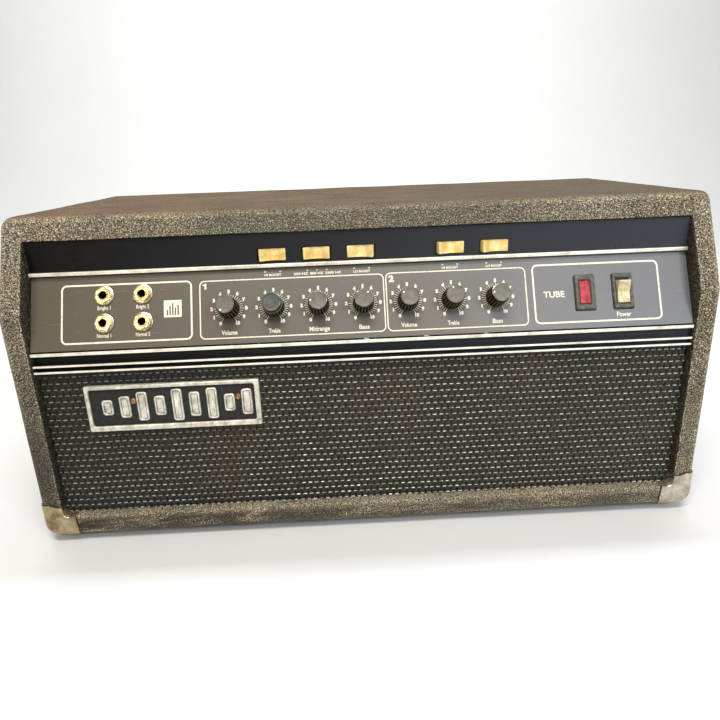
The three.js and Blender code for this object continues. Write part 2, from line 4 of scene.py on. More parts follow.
import bmesh
import bpy
from mathutils import Matrix, Vector, noise


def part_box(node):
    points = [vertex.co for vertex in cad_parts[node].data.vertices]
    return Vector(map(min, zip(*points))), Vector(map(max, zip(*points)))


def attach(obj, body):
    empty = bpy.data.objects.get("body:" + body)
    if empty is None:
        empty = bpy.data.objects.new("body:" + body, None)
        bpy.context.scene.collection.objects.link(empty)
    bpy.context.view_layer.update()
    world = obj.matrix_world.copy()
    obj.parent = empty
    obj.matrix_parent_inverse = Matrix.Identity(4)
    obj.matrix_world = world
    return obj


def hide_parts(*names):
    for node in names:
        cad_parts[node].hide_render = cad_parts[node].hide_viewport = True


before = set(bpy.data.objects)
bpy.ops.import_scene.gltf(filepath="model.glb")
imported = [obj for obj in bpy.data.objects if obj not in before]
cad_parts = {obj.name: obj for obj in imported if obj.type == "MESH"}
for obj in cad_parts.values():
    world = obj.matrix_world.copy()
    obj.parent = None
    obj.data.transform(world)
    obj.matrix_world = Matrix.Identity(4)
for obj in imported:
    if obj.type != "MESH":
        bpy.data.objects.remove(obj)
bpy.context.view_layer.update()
MM = 0.001
ROOT = "amplifier"
scene = bpy.context.scene
noise.seed_set(1)                      # unseeded, noise_vector starts from the clock

# ---------------------------------------------------------------- dimensions, as in the CAD
YS = 1.72                              # how far the cabinet stands back in its own box
Y_FRONT, Y_BACK = -151 + YS, 151 + YS
HALF_W, Z_LOW, Z_TOP = 305.0, 8.0, 296.0
X_IN, Z_IN_LOW, Z_IN_TOP = 285.8, 27.7, 275.7
CORNER_R, TOP_R, FRONT_R, BACK_R, LIP_R = 12.5, 9.5, 6.0, 4.0, 2.2
Z_BEND, LEAN = 216.5, math.radians(25.5)
SPAN = 285.3
PANEL_LEAN = math.radians(25.5)
PANEL_Y, PANEL_Z = -144.34 + YS, 193.44
KNOBS = ["knob_volume_1", "knob_treble_1", "knob_mid_1", "knob_bass_1",
         "knob_volume_2", "knob_treble_2", "knob_bass_2"]
KNOB_AIM = [-145, 0, -90, 38, -56, -17, -88]
KNOB_V = 23.6
ROCKERS = ["rocker_high_1", "rocker_mid_1", "rocker_low_1", "rocker_high_2", "rocker_low_2"]
ROCKER_STATE = [1, 0, -1, 1, 1]
ROCKER_KNOB = [1, 2, 3, 5, 6]
ROCKER_Z = 257.2
LAMP_X, SWITCH_X, LAMP_V, SWITCH_TILT = 192.3, 225.7, 24.3, 12
HANDLE_Z = 168
PRINT = 0.07                           # thickness of the screen print
CAPITAL = 0.69                         # height of a capital in the built-in font, whose size is 1


def centre(node):
    """Middle of a CAD node's box, in millimetres."""
    lo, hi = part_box(node)
    return (lo + hi) / 2 / MM


def size(node):
    lo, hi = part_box(node)
    return (hi - lo) / MM


def knob_x(i):
    return centre(KNOBS[i]).x


# Local frames: x to the right, y up the face, z out of it.
PANEL = Matrix(((1, 0, 0, 0),
                (0, math.sin(PANEL_LEAN), -math.cos(PANEL_LEAN), PANEL_Y),
                (0, math.cos(PANEL_LEAN), math.sin(PANEL_LEAN), PANEL_Z),
                (0, 0, 0, 1)))


def front_at(x, y, z):
    return Matrix(((1, 0, 0, x), (0, 0, -1, y), (0, 1, 0, z), (0, 0, 0, 1)))


def rear_at(x, y, z):
    return Matrix(((-1, 0, 0, x), (0, 0, 1, y), (0, 1, 0, z), (0, 0, 0, 1)))


def side_at(sign, x, y, z):
    """Facing +X or -X."""
    return Matrix(((0, 0, sign, x), (sign, 0, 0, y), (0, 1, 0, z), (0, 0, 0, 1)))


def shift(x, y, z):
    return Matrix.Translation((x, y, z))


def spin(degrees, axis="Z"):
    return Matrix.Rotation(math.radians(degrees), 4, axis)


def panel_at(x, v, h=0.0):
    return PANEL @ shift(x, v, h)


def polar(r, a):
    return r * math.cos(a), r * math.sin(a)


def rect(x0, x1, y0, y1):
    return [(x0, y0), (x1, y0), (x1, y1), (x0, y1)]


# ---------------------------------------------------------------- camera
def set_camera():
    yaw, pitch, roll = (math.radians(a) for a in (1.633, 18.954, -2.103))
    look = Vector((math.sin(yaw) * math.cos(pitch), math.cos(yaw) * math.cos(pitch), -math.sin(pitch)))
    right = Vector((math.cos(yaw), -math.sin(yaw), 0))
    up = right.cross(look)
    c, s = math.cos(roll), math.sin(roll)
    right, up = right * c + up * s, up * c - right * s
    data = bpy.data.cameras.new("camera")
    data.sensor_width = 36
    data.lens = 30.48
    data.shift_x = -0.0045
    data.clip_start, data.clip_end = 0.01, 20
    cam = bpy.data.objects.new("camera", data)
    m = Matrix((right, up, -look)).transposed().to_4x4()
    m.translation = Vector((-0.01788, -0.64708, 0.33915))
    cam.matrix_world = m
    scene.collection.objects.link(cam)
    scene.camera = cam


set_camera()


# ---------------------------------------------------------------- materials
def rgb(r, g, b):
    """Linear colour from 0-255 display values."""
    return tuple((c / 255 / 12.92) if c < 11 else ((c / 255 + 0.055) / 1.055) ** 2.4 for c in (r, g, b))


class Mat:
    """A Principled material and short calls for the nodes that feed it. Texture scales are per millimetre."""

    def __init__(self, name, rough=0.5, metal=0.0, **sockets):
        self.mat = bpy.data.materials.new(name)
        self.mat.use_nodes = True
        self.tree = self.mat.node_tree
        self.bsdf = next(n for n in self.tree.nodes if n.type == "BSDF_PRINCIPLED")
        self.put(self.bsdf.inputs["Base Color"], (0.5, 0.5, 0.5, 1))
        self.put(self.bsdf.inputs["Roughness"], rough)
        self.put(self.bsdf.inputs["Metallic"], metal)
        for k, v in sockets.items():
            self.put(self.bsdf.inputs[k.replace("_", " ")], v)
        where = self.tree.nodes.new("ShaderNodeTexCoord")
        self.pos = self.vec("MULTIPLY", where.outputs["Object"], (1000, 1000, 1000))
        self.normal = None

    def put(self, socket, value):
        if isinstance(value, bpy.types.NodeSocket):
            self.tree.links.new(value, socket)
        elif socket.type == "RGBA" and len(value) == 3:
            socket.default_value = (*value, 1)
        else:
            socket.default_value = value

    def node(self, kind, inputs=None, **props):
        n = self.tree.nodes.new(kind)
        for k, v in props.items():
            setattr(n, k, v)
        for k, v in (inputs or {}).items():
            self.put(n.inputs[k], v)
        return n

    def vec(self, op, a, b):
        return self.node("ShaderNodeVectorMath", {0: a, 1: b}, operation=op).outputs[0]

    def stretch(self, x, y, z):
        return self.vec("MULTIPLY", self.pos, (x, y, z))

    def noise(self, scale, detail=2.0, rough=0.5, bend=0.0, at=None):
        n = self.node("ShaderNodeTexNoise", {"Vector": at or self.pos, "Scale": scale, "Detail": detail,
                                             "Roughness": rough, "Distortion": bend})
        return n.outputs["Fac"]

    def cells(self, scale, at=None, **more):
        n = self.node("ShaderNodeTexVoronoi", None, **more)
        self.put(n.inputs["Vector"], at or self.pos)
        self.put(n.inputs["Scale"], scale)
        self.put(n.inputs["Randomness"], 1.0)
        return n

    def math(self, op, a, b=0.0, clamp=False):
        return self.node("ShaderNodeMath", {0: a, 1: b}, operation=op, use_clamp=clamp).outputs[0]

    def mul(self, a, b, clamp=False):
        return self.math("MULTIPLY", a, b, clamp)

    def sum(self, a, b):
        return self.math("ADD", a, b)

    def swing(self, v, amount, middle=0.5):
        """A value about its middle, times an amount."""
        return self.mul(self.math("SUBTRACT", v, middle), amount)

    def away(self, which):
        """Distance from the middle plane of an axis."""
        return self.math("ABSOLUTE", self.axis(which))

    def span(self, v, a, b, c=0.0, d=1.0, smooth=False):
        n = self.node("ShaderNodeMapRange", {0: v, 1: a, 2: b, 3: c, 4: d})
        if smooth:
            n.interpolation_type = "SMOOTHSTEP"
        return n.outputs[0]

    def ramp(self, fac, *stops):
        n = self.node("ShaderNodeValToRGB", {0: fac})
        e = n.color_ramp.elements
        while len(e) < len(stops):
            e.new(0.5)
        for el, (p, c) in zip(e, stops):
            el.position = p
            el.color = (*c, 1)
        return n.outputs[0]

    def mix(self, fac, a, b, kind="MIX"):
        n = self.node("ShaderNodeMix", None, data_type="RGBA", blend_type=kind)
        self.put(n.inputs[0], fac)
        self.put(n.inputs[6], a)
        self.put(n.inputs[7], b)
        return n.outputs[2]

    def attr(self, name):
        return self.node("ShaderNodeAttribute", None, attribute_name=name).outputs["Fac"]

    def axis(self, which):
        return self.node("ShaderNodeSeparateXYZ", {0: self.pos}).outputs[which]

    def facing(self, which):
        """How much the surface faces along an axis, -1 to 1."""
        g = self.node("ShaderNodeNewGeometry")
        return self.node("ShaderNodeSeparateXYZ", {0: g.outputs["True Normal"]}).outputs[which]

    def bump(self, height, depth):
        """Adds a bump whose full height is depth millimetres."""
        n = self.node("ShaderNodeBump", {"Height": height, "Distance": depth * MM, "Strength": 1.0})
        if self.normal is not None:
            self.put(n.inputs["Normal"], self.normal)
        self.normal = n.outputs["Normal"]
        self.put(self.bsdf.inputs["Normal"], self.normal)
        return self

    def colour(self, v):
        self.put(self.bsdf.inputs["Base Color"], v)

    def rough(self, v):
        self.put(self.bsdf.inputs["Roughness"], v)


def covering():
    """Pebbled vinyl: creases painted dark as shade, tops of the grain painted light, partly wear and partly
    painted highlight; brown dust on the top face.
    """
    m = Mat("covering", rough=0.55, Specular_IOR_Level=0.28)
    warp = m.node("ShaderNodeTexNoise", {"Vector": m.pos, "Scale": 0.5, "Detail": 1.0})
    at = m.vec("ADD", m.pos, m.vec("MULTIPLY", warp.outputs["Color"], (1.6, 1.6, 1.6)))
    pebble = m.cells(0.62, at).outputs["Distance"]
    fine = m.noise(0.95, 2.0, 0.6)
    height = m.span(m.sum(pebble, m.mul(fine, -0.5)), 0.55, -0.2)
    top = m.mul(m.span(m.facing(2), 0.6, 1.0), m.span(m.axis(2), 250, 280))
    patches = m.noise(0.02, 4.0, 0.6)
    wear_and_shade = m.attr("wear_and_shade")
    lift = m.sum(m.span(fine, 0.26, 0.74), m.swing(height, 0.3))
    lift = m.sum(lift, m.swing(patches, 0.24))
    # painted shade: negative values darken the opening's inner walls; positive values are wear at the edges
    lift = m.sum(lift, m.mul(wear_and_shade, 0.14))
    # painted shade and highlight: the grain's low points go near black and its high points near white
    grain = m.ramp(lift, (0.16, rgb(30, 26, 20)), (0.34, rgb(84, 76, 63)), (0.5, rgb(118, 110, 94)),
                   (0.66, rgb(146, 137, 118)), (0.88, rgb(222, 214, 194)))
    tint = m.ramp(m.noise(0.03, 3.0, 0.6), (0.36, rgb(236, 238, 230)), (0.52, rgb(255, 250, 240)),
                  (0.68, rgb(255, 240, 224)))
    grain = m.mix(1.0, grain, tint, "MULTIPLY")
    # painted shade: the left side is darker in patches towards the bottom
    low_left_shade = m.mul(m.span(m.axis(0), -280, -292), m.span(m.axis(2), 205, 90))
    grain = m.mix(m.mul(low_left_shade, m.span(patches, 0.35, 0.65, 0.5, 0.85)), grain, rgb(34, 29, 21))
    # painted shade: the front is a darker grey across the middle, towards the top
    middle = m.mul(m.span(m.away(0), 240, 90), m.span(m.axis(2), 240, 270))
    grain = m.mix(m.mul(middle, 0.42), grain, rgb(62, 62, 54))
    smear = m.span(m.noise(0.06, 4.0, 0.7, 0.5, at=m.stretch(0.35, 1.0, 1.6)), 0.4, 0.52)
    sill = m.mul(m.span(m.axis(2), 28, 22), m.span(m.axis(0), 300, -260, 0.4, 1.2))
    grain = m.mix(m.mul(m.mul(smear, sill), 0.75), grain, rgb(48, 40, 28))
    streak = m.noise(0.04, 5.0, 0.65, 0.3, at=m.stretch(0.55, 1.0, 1.0))
    brown = m.ramp(streak, (0.3, rgb(58, 43, 26)), (0.5, rgb(86, 65, 41)), (0.68, rgb(108, 86, 58)))
    brown = m.mix(m.mul(m.span(lift, 0.3, 0.8), 0.45), brown, rgb(132, 112, 84))
    brown = m.mix(m.mul(m.span(m.axis(0), -100, 300), 0.6), brown, rgb(76, 70, 58))
    m.colour(m.mix(m.mul(top, 0.85), m.mix(0.08, grain, (0, 0, 0)), brown))
    m.rough(m.sum(m.span(height, 0.2, 0.9, 0.6, 0.36), m.mul(top, 0.25)))
    m.bump(height, 1.1)
    return m.mat


def corner_metal():
    m = Mat("corner_metal", metal=0.85)
    tarnish = m.noise(0.09, 5.0, 0.65)
    scratch = m.noise(1.6, 2.0, 0.6, at=m.stretch(0.12, 1.0, 1.0))
    worn = m.sum(tarnish, m.swing(scratch, 0.25))
    bronze = m.ramp(worn, (0.3, rgb(110, 92, 64)), (0.5, rgb(160, 142, 110)), (0.68, rgb(190, 176, 148)))
    silver = m.ramp(worn, (0.3, rgb(138, 128, 108)), (0.5, rgb(178, 169, 150)), (0.68, rgb(206, 199, 183)))
    m.colour(m.mix(m.span(m.axis(0), -100, 250), bronze, silver))
    m.rough(m.span(tarnish, 0.3, 0.7, 0.48, 0.26))
    m.bump(scratch, 0.02).bump(m.noise(0.05, 2.0), 0.35)
    return m.mat


def bright_trim():
    """Anodised strip, brushed along its length."""
    m = Mat("trim_metal", metal=0.55)
    brush = m.noise(2.2, 3.0, 0.6, at=m.stretch(0.01, 1.0, 1.0))
    dirt = m.noise(0.06, 5.0, 0.7)
    m.colour(m.ramp(m.sum(dirt, m.swing(brush, 0.2)),
                    (0.28, rgb(196, 186, 160)), (0.5, rgb(240, 236, 220)), (0.7, rgb(252, 250, 240))))
    m.rough(m.span(brush, 0.2, 0.8, 0.3, 0.46))
    m.bump(brush, 0.012)
    return m.mat


def black_paint(name="black_paint", gloss=0.22):
    m = Mat(name, rough=gloss, Specular_IOR_Level=0.22)
    dust = m.noise(0.05, 5.0, 0.65)
    speck = m.span(m.noise(0.9, 2.0, 0.7), 0.68, 0.8)
    # painted reflection: near black at the left, a lighter bluish grey at the right
    base = m.mix(m.span(m.axis(0), -280, 280), rgb(2, 1, 0), rgb(58, 61, 68))
    base = m.mix(m.mul(dust, 0.5), base, rgb(24, 20, 14))
    m.colour(m.mix(m.mul(speck, 0.35), base, rgb(110, 100, 84)))
    m.rough(m.span(dust, 0.3, 0.75, gloss, gloss + 0.25))
    m.bump(m.noise(0.5, 3.0, 0.6), 0.03)
    return m.mat


def panel_grey():
    """Satin grey enamel with fine grit and scuffs, painted light falling off to the left, and a painted
    shadow round each knob, reaching further below it.
    """
    m = Mat("panel_grey", metal=0.15)
    blotch = m.noise(0.012, 4.0, 0.6)
    grit = m.noise(2.4, 2.0, 0.6)
    scratch = m.span(m.noise(0.8, 3.0, 0.7, at=m.stretch(0.08, 1.0, 1.0)), 0.66, 0.72)
    base = m.mix(blotch, rgb(98, 94, 88), rgb(114, 111, 108))
    # painted light: darker and warmer towards the left, cooler and bluer towards the right
    base = m.mix(m.span(m.axis(0), 160, -260), base, rgb(80, 73, 58))
    base = m.mix(m.span(m.axis(0), 60, 290, 0.0, 0.6), base, rgb(97, 100, 109))
    # painted shadow: a dark ring round each knob, centred a little below it
    pitch = (knob_x(6) - knob_x(0)) / 6
    along = m.math("SUBTRACT", m.axis(0), knob_x(0) - pitch * 4.5)
    dx = m.math("SUBTRACT", m.math("MODULO", along, pitch), pitch / 2)
    dz = m.mul(m.math("SUBTRACT", m.axis(2), PANEL_Z + KNOB_V * math.cos(PANEL_LEAN) - 1.2), 1.108)
    far = m.math("SQRT", m.sum(m.mul(dx, dx), m.mul(dz, dz)))
    ring = m.mul(m.span(far, 14.5, 10.0, smooth=True), m.span(m.away(0), 140, 130))
    base = m.mix(m.mul(ring, 0.72), base, rgb(24, 21, 17))
    base = m.mix(m.mul(m.math("SUBTRACT", grit, 0.35), 0.5, True), base, rgb(60, 56, 50))
    m.colour(m.mix(m.mul(scratch, 0.3), base, rgb(160, 154, 144)))
    m.rough(m.span(grit, 0.3, 0.7, 0.4, 0.56))
    m.bump(grit, 0.03)
    return m.mat


def ink():
    """Cream screen print, thin and rubbed in places."""
    m = Mat("panel_print", rough=0.5)
    rub = m.noise(0.5, 4.0, 0.7)
    m.colour(m.ramp(rub, (0.3, rgb(166, 159, 138)), (0.42, rgb(220, 214, 192)), (0.7, rgb(237, 232, 212))))
    m.rough(m.span(rub, 0.3, 0.7, 0.62, 0.42))
    m.bump(rub, 0.02)
    return m.mat


def plastic(name, colours, rough, grain, depth):
    m = Mat(name)
    spots = m.noise(grain * 0.18, 4.0, 0.6)
    fine = m.noise(grain * 3, 2.0, 0.6)
    m.colour(m.ramp(m.sum(spots, m.swing(fine, 0.2)),
                    *zip((0.3, 0.5, 0.7), (rgb(*c) for c in colours))))
    m.rough(m.span(spots, 0.3, 0.7, rough + 0.12, rough))
    m.bump(fine, depth)
    return m.mat


def metal(name, colours, rough, grain, depth, amount=1.0):
    m = Mat(name, metal=amount)
    cloud = m.noise(grain * 0.12, 5.0, 0.65)
    fine = m.noise(grain * 2.4, 3.0, 0.6)
    m.colour(m.ramp(m.sum(cloud, m.swing(fine, 0.3)),
                    *zip((0.3, 0.5, 0.7), (rgb(*c) for c in colours))))
    m.rough(m.sum(m.span(cloud, 0.3, 0.7, rough + 0.16, rough), m.mul(fine, 0.06)))
    m.bump(fine, depth)
    return m.mat


def wood():
    m = Mat("bare_wood", rough=0.75)
    grain = m.noise(0.5, 4.0, 0.65, 0.6, at=m.stretch(0.06, 1.0, 1.0))
    m.colour(m.ramp(grain, (0.3, rgb(52, 40, 28)), (0.5, rgb(84, 66, 46)), (0.7, rgb(110, 90, 64))))
    m.bump(grain, 0.15)
    return m.mat


def cloth_stain(m):
    return m.span(m.noise(0.012, 4.0, 0.6, 0.4), 0.48, 0.68)


def left_shade(m):
    """Painted shade: the cloth is darker at the left and towards its upper edge."""
    return m.mul(m.span(m.axis(0), 60, -290), m.span(m.axis(2), 40, 165, 0.25, 0.6))


def weave():
    """Dark plastic-coated thread of the grille cloth, dusty, with brown stains, and painted shade, black,
    between the threads.
    """
    m = Mat("grille_cloth", rough=0.6, Specular_IOR_Level=0.3)
    thread = m.noise(1.4, 3.0, 0.6, at=m.stretch(2.4, 1.0, 0.6))
    base = m.ramp(thread, (0.25, rgb(6, 6, 5)), (0.5, rgb(32, 30, 25)), (0.72, rgb(92, 88, 76)))
    base = m.mix(m.mul(cloth_stain(m), 0.35), base, rgb(78, 68, 46))
    base = m.mix(left_shade(m), base, rgb(14, 13, 8))
    m.colour(m.mix(m.attr("gap"), base, rgb(3, 3, 3)))
    m.rough(m.span(thread, 0.3, 0.7, 0.45, 0.75))
    m.bump(thread, 0.25)
    return m.mat


def glint():
    """Silver thread that shows in short crescents."""
    m = Mat("grille_glint", metal=0.3)
    lot = m.noise(0.33, 2.0, 0.7)
    base = m.ramp(lot, (0.33, rgb(84, 81, 70)), (0.45, rgb(168, 165, 153)), (0.58, rgb(250, 247, 238)))
    base = m.mix(m.mul(cloth_stain(m), 0.4), base, rgb(140, 126, 92))
    base = m.mix(left_shade(m), base, rgb(50, 46, 34))
    m.colour(m.mix(m.attr("shine"), rgb(16, 15, 13), base))
    m.rough(m.span(lot, 0.3, 0.7, 0.5, 0.3))
    m.bump(m.noise(3.0, 2.0), 0.08)
    return m.mat


def lens_red():
    """Pebbled red lens, dusty."""
    m = Mat("red_lens", rough=0.45, IOR=1.49, Specular_IOR_Level=0.35)
    cloud = m.noise(0.22, 3.0, 0.6)
    cells = m.cells(1.1, feature="SMOOTH_F1")
    m.put(cells.inputs["Smoothness"], 0.4)
    cell = cells.outputs["Distance"]
    m.colour(m.ramp(m.sum(cloud, m.mul(cell, -0.3)),
                    (0.1, rgb(120, 24, 34)), (0.35, rgb(168, 52, 60)), (0.6, rgb(190, 92, 96))))
    m.rough(m.span(cloud, 0.3, 0.7, 0.38, 0.6))
    m.bump(cell, 0.3)
    return m.mat


def tube_glass():
    """Thin clear glass, a little dusty."""
    m = Mat("tube_glass", rough=0.03, IOR=1.3, Transmission_Weight=1.0)
    film = m.noise(0.12, 3.0, 0.6)
    m.colour(m.mix(film, (0.86, 0.88, 0.87), (0.97, 0.98, 0.97)))
    m.rough(m.span(film, 0.35, 0.75, 0.02, 0.12))
    m.bump(film, 0.05)
    return m.mat


def floor_mat():
    m = Mat("pale_floor", rough=0.6)
    cloud = m.noise(0.004, 3.0, 0.5)
    m.colour(m.mix(cloud, (0.66, 0.66, 0.66), (0.7, 0.7, 0.7)))
    m.bump(m.noise(0.4, 3.0), 0.02)
    return m.mat


def knob_black():
    """Black moulded plastic; its rib crests painted lighter, partly dust and partly painted highlight."""
    m = Mat("knob_black", rough=0.6, Specular_IOR_Level=0.05)
    dust = m.noise(0.6, 3.0, 0.6)
    base = m.mix(dust, rgb(1, 1, 1), rgb(12, 10, 8))
    # painted highlight, partly dust: the rib crests are lighter
    rib = m.mul(m.attr("rib"), m.span(dust, 0.3, 0.6, 0.3, 1.0))
    m.colour(m.mix(rib, base, rgb(122, 106, 80)))
    m.rough(m.span(dust, 0.3, 0.7, 0.62, 0.4))
    m.bump(dust, 0.03)
    return m.mat


def chipped():
    """Plated rim with the black coat worn through in places."""
    m = Mat("chipped_rim", metal=0.8)
    worn = m.span(m.noise(0.75, 3.0, 0.7), 0.46, 0.54)
    m.colour(m.mix(worn, rgb(22, 21, 20), rgb(236, 234, 226)))
    m.rough(m.span(worn, 0, 1, 0.4, 0.18))
    m.bump(worn, 0.03)
    return m.mat


M = {
    "covering": covering(),
    "corner": corner_metal(),
    "trim": bright_trim(),
    "black": black_paint(),
    "matt_black": black_paint("matt_black", 0.5),
    "panel": panel_grey(),
    "ink": ink(),
    "rubber": plastic("rubber", ((24, 23, 22), (34, 33, 31), (48, 46, 42)), 0.6, 0.8, 0.12),
    "knob": knob_black(),
    "cap": metal("knob_cap", ((86, 83, 75), (97, 94, 85), (109, 106, 96)), 0.42, 1.6, 0.012, 0.3),
    "chipped": chipped(),
    "cap_dark": metal("knob_cap_dark", ((62, 63, 60), (78, 80, 76), (98, 99, 94)), 0.3, 1.6, 0.01, 0.3),
    "cap_edge": metal("knob_cap_edge", ((84, 85, 80), (120, 120, 114), (160, 159, 152)), 0.2, 1.6, 0.01, 0.6),
    "dot": plastic("dot_white", ((214, 210, 198), (238, 236, 228), (248, 247, 242)), 0.4, 2.0, 0.02),
    "cream": plastic("cream_plastic", ((200, 162, 84), (221, 194, 122), (236, 220, 166)), 0.3, 0.6, 0.04),
    "ivory": plastic("ivory_plastic", ((158, 148, 100), (192, 184, 144), (206, 200, 166)), 0.42, 1.4, 0.04),
    "lens": lens_red(),
    "bezel": plastic("bezel_plastic", ((46, 42, 33), (66, 62, 50), (98, 92, 76)), 0.42, 1.6, 0.06),
    "nickel": metal("nickel", ((150, 132, 90), (212, 198, 156), (246, 238, 210)), 0.16, 2.6, 0.02),
    "black_plastic": plastic("black_plastic", ((16, 16, 16), (27, 27, 27), (40, 39, 37)), 0.4, 1.0, 0.05),
    "board": plastic("circuit_board", ((120, 92, 40), (150, 120, 58), (170, 142, 80)), 0.45, 0.5, 0.05),
    "steel": metal("chassis_steel", ((136, 134, 127), (160, 158, 152), (180, 180, 176)), 0.36, 0.35, 0.03),
    "iron": plastic("transformer_black", ((16, 16, 17), (27, 27, 29), (46, 45, 44)), 0.42, 0.7, 0.12),
    "screw": metal("screw_steel", ((110, 104, 92), (164, 160, 150), (200, 198, 190)), 0.28, 2.0, 0.02),
    "copper_screw": metal("copper_screw", ((104, 74, 50), (160, 122, 88), (204, 172, 136)), 0.34, 2.0, 0.02),
    "cast": metal("badge_cast", ((146, 141, 128), (202, 198, 184), (238, 234, 221)), 0.3, 1.2, 0.03, 0.5),
    "inset": plastic("badge_inset", ((5, 5, 4), (14, 14, 12), (34, 32, 27)), 0.6, 1.4, 0.1),
    "glass": tube_glass(),
    "mica": plastic("tube_mica", ((150, 142, 122), (186, 180, 162), (210, 205, 190)), 0.3, 1.0, 0.03),
    "plate": metal("tube_plate", ((70, 70, 72), (104, 104, 106), (146, 146, 146)), 0.45, 1.2, 0.05, 0.7),
    "wood": wood(),
    "weave": weave(),
    "glint": glint(),
}


# ---------------------------------------------------------------- solids, as (vertices, faces)
def out_of(bm):
    bm.verts.ensure_lookup_table()
    bm.verts.index_update()
    part = [tuple(v.co) for v in bm.verts], [tuple(v.index for v in f.verts) for f in bm.faces]
    bm.free()
    return part


def arc(cx, cy, r, a0, a1, n):
    return [(cx + r * math.cos(math.radians(a0 + (a1 - a0) * i / n)),
             cy + r * math.sin(math.radians(a0 + (a1 - a0) * i / n))) for i in range(n + 1)]


def rounded(x0, x1, y0, y1, r, n=4):
    pts = []
    for cx, cy, a in ((x1 - r, y0 + r, -90), (x1 - r, y1 - r, 0), (x0 + r, y1 - r, 90),
                      (x0 + r, y0 + r, 180)):
        pts += arc(cx, cy, r, a, a + 90, n)
    return pts


def slab(points, z0, z1, bevel=0.3, segs=2, sides=False):
    """A plate of any outline with its rims rounded; sides also rounds the upright edges."""
    bm = bmesh.new()
    low = [bm.verts.new((x, y, z0)) for x, y in points]
    high = [bm.verts.new((x, y, z1)) for x, y in points]
    n = len(points)
    bm.faces.new(low[::-1])
    bm.faces.new(high)
    for i in range(n):
        j = (i + 1) % n
        bm.faces.new((low[i], low[j], high[j], high[i]))
    if bevel:
        edges = [e for e in bm.edges if sides or abs(e.verts[0].co.z - e.verts[1].co.z) < 1e-6]
        bmesh.ops.bevel(bm, geom=edges, offset=bevel, segments=segs, affect="EDGES", profile=0.5,
                        clamp_overlap=True)
    return out_of(bm)


def block(x0, x1, y0, y1, z0, z1, bevel=0.4, segs=2):
    return slab(rect(x0, x1, y0, y1), z0, z1, bevel, segs, True)


def lathe(profile, n=32, shape=None):
    """Turns (r, z) points about z. The ends lie on the axis, or the profile is a closed ring.
    shape(angle, r, z) gives another radius."""
    verts, faces, rows = [], [], []
    for r, z in profile:
        if r < 1e-6:
            rows.append([len(verts)])
            verts.append((0, 0, z))
            continue
        rows.append(list(range(len(verts), len(verts) + n)))
        for k in range(n):
            a = 2 * math.pi * k / n
            rr = shape(a, r, z) if shape else r
            verts.append((*polar(rr, a), z))
    ring = len(rows[0]) > 1 and len(rows[-1]) > 1
    pairs = list(zip(rows, rows[1:])) + ([(rows[-1], rows[0])] if ring else [])
    for a, b in pairs:
        for k in range(n):
            j = (k + 1) % n
            if len(a) == 1:
                faces.append((a[0], b[j], b[k]))
            elif len(b) == 1:
                faces.append((a[k], a[j], b[0]))
            else:
                faces.append((a[k], a[j], b[j], b[k]))
    return verts, faces


def loops(rings, closed=False):
    """Skins equal rings of points. Closed joins the last to the first, otherwise the ends are capped."""
    n = len(rings[0])
    verts = [p for ring in rings for p in ring]
    faces = []
    count = len(rings)
    for k in range(count if closed else count - 1):
        a, b = k * n, ((k + 1) % count) * n
        for i in range(n):
            j = (i + 1) % n
            faces.append((a + i, a + j, b + j, b + i))
    if not closed:
        faces.append(tuple(range(n))[::-1])
        faces.append(tuple(range((count - 1) * n, count * n)))
    return verts, faces


def letters(text, tall, wide=None, bold=0.0):
    """Generic lettering as a thin closed solid, centred, standing tall millimetres high in capitals."""
    cu = bpy.data.curves.new("letters", "FONT")
    cu.body = text
    cu.resolution_u = 4
    cu.offset = bold
    cu.extrude = 0.05
    ob = bpy.data.objects.new("letters", cu)
    scene.collection.objects.link(ob)
    bpy.context.view_layer.update()
    me = bpy.data.meshes.new_from_object(ob.evaluated_get(bpy.context.evaluated_depsgraph_get()))
    verts = [v.co.copy() for v in me.vertices]
    faces = [tuple(p.vertices) for p in me.polygons]
    bpy.data.objects.remove(ob)
    bpy.data.curves.remove(cu)
    bpy.data.meshes.remove(me)
    xs = [v.x for v in verts]
    sy = tall / CAPITAL
    sx = wide / (max(xs) - min(xs)) if wide else sy
    mid = (max(xs) + min(xs)) / 2
    return [((v.x - mid) * sx, v.y * sy - tall / 2, PRINT if v.z > 0 else 0.0) for v in verts], faces


def line(points, wide, closed=False):
    """A printed line of even width along a path in the plane."""
    n = len(points)
    p = [Vector(q).to_2d() for q in points]
    left, right = [], []
    for i in range(n):
        a = p[(i - 1) % n] if closed or i else p[i]
        b = p[(i + 1) % n] if closed or i < n - 1 else p[i]
        d1 = (p[i] - a).normalized() if (p[i] - a).length > 1e-9 else (b - p[i]).normalized()
        d2 = (b - p[i]).normalized() if (b - p[i]).length > 1e-9 else d1
        t = (d1 + d2).normalized()
        nrm = Vector((-t.y, t.x))
        k = wide / 2 / max(0.5, nrm.dot(Vector((-d1.y, d1.x))))
        left.append(p[i] + nrm * k)
        right.append(p[i] - nrm * k)
    rings = [[(left[i].x, left[i].y, 0), (right[i].x, right[i].y, 0),
              (right[i].x, right[i].y, PRINT), (left[i].x, left[i].y, PRINT)] for i in range(n)]
    return loops(rings, closed)


def rounds(spec, n=4, x=0.0, y=0.0):
    """Rounded rectangles as rings, from rows of half width, half height, corner radius and z."""
    return [[(x + p, y + q, z) for p, q in rounded(-i, i, -j, j, r, n)] for i, j, r, z in spec]


def grid_rim(rows, cols):
    """Numbers of the points round the edge of a grid."""
    rim = list(range(cols)) + [r * cols + cols - 1 for r in range(1, rows)]
    return rim + [(rows - 1) * cols + c for c in range(cols - 2, -1,
                                                       -1)] + [r * cols for r in range(rows - 2, 0, -1)]


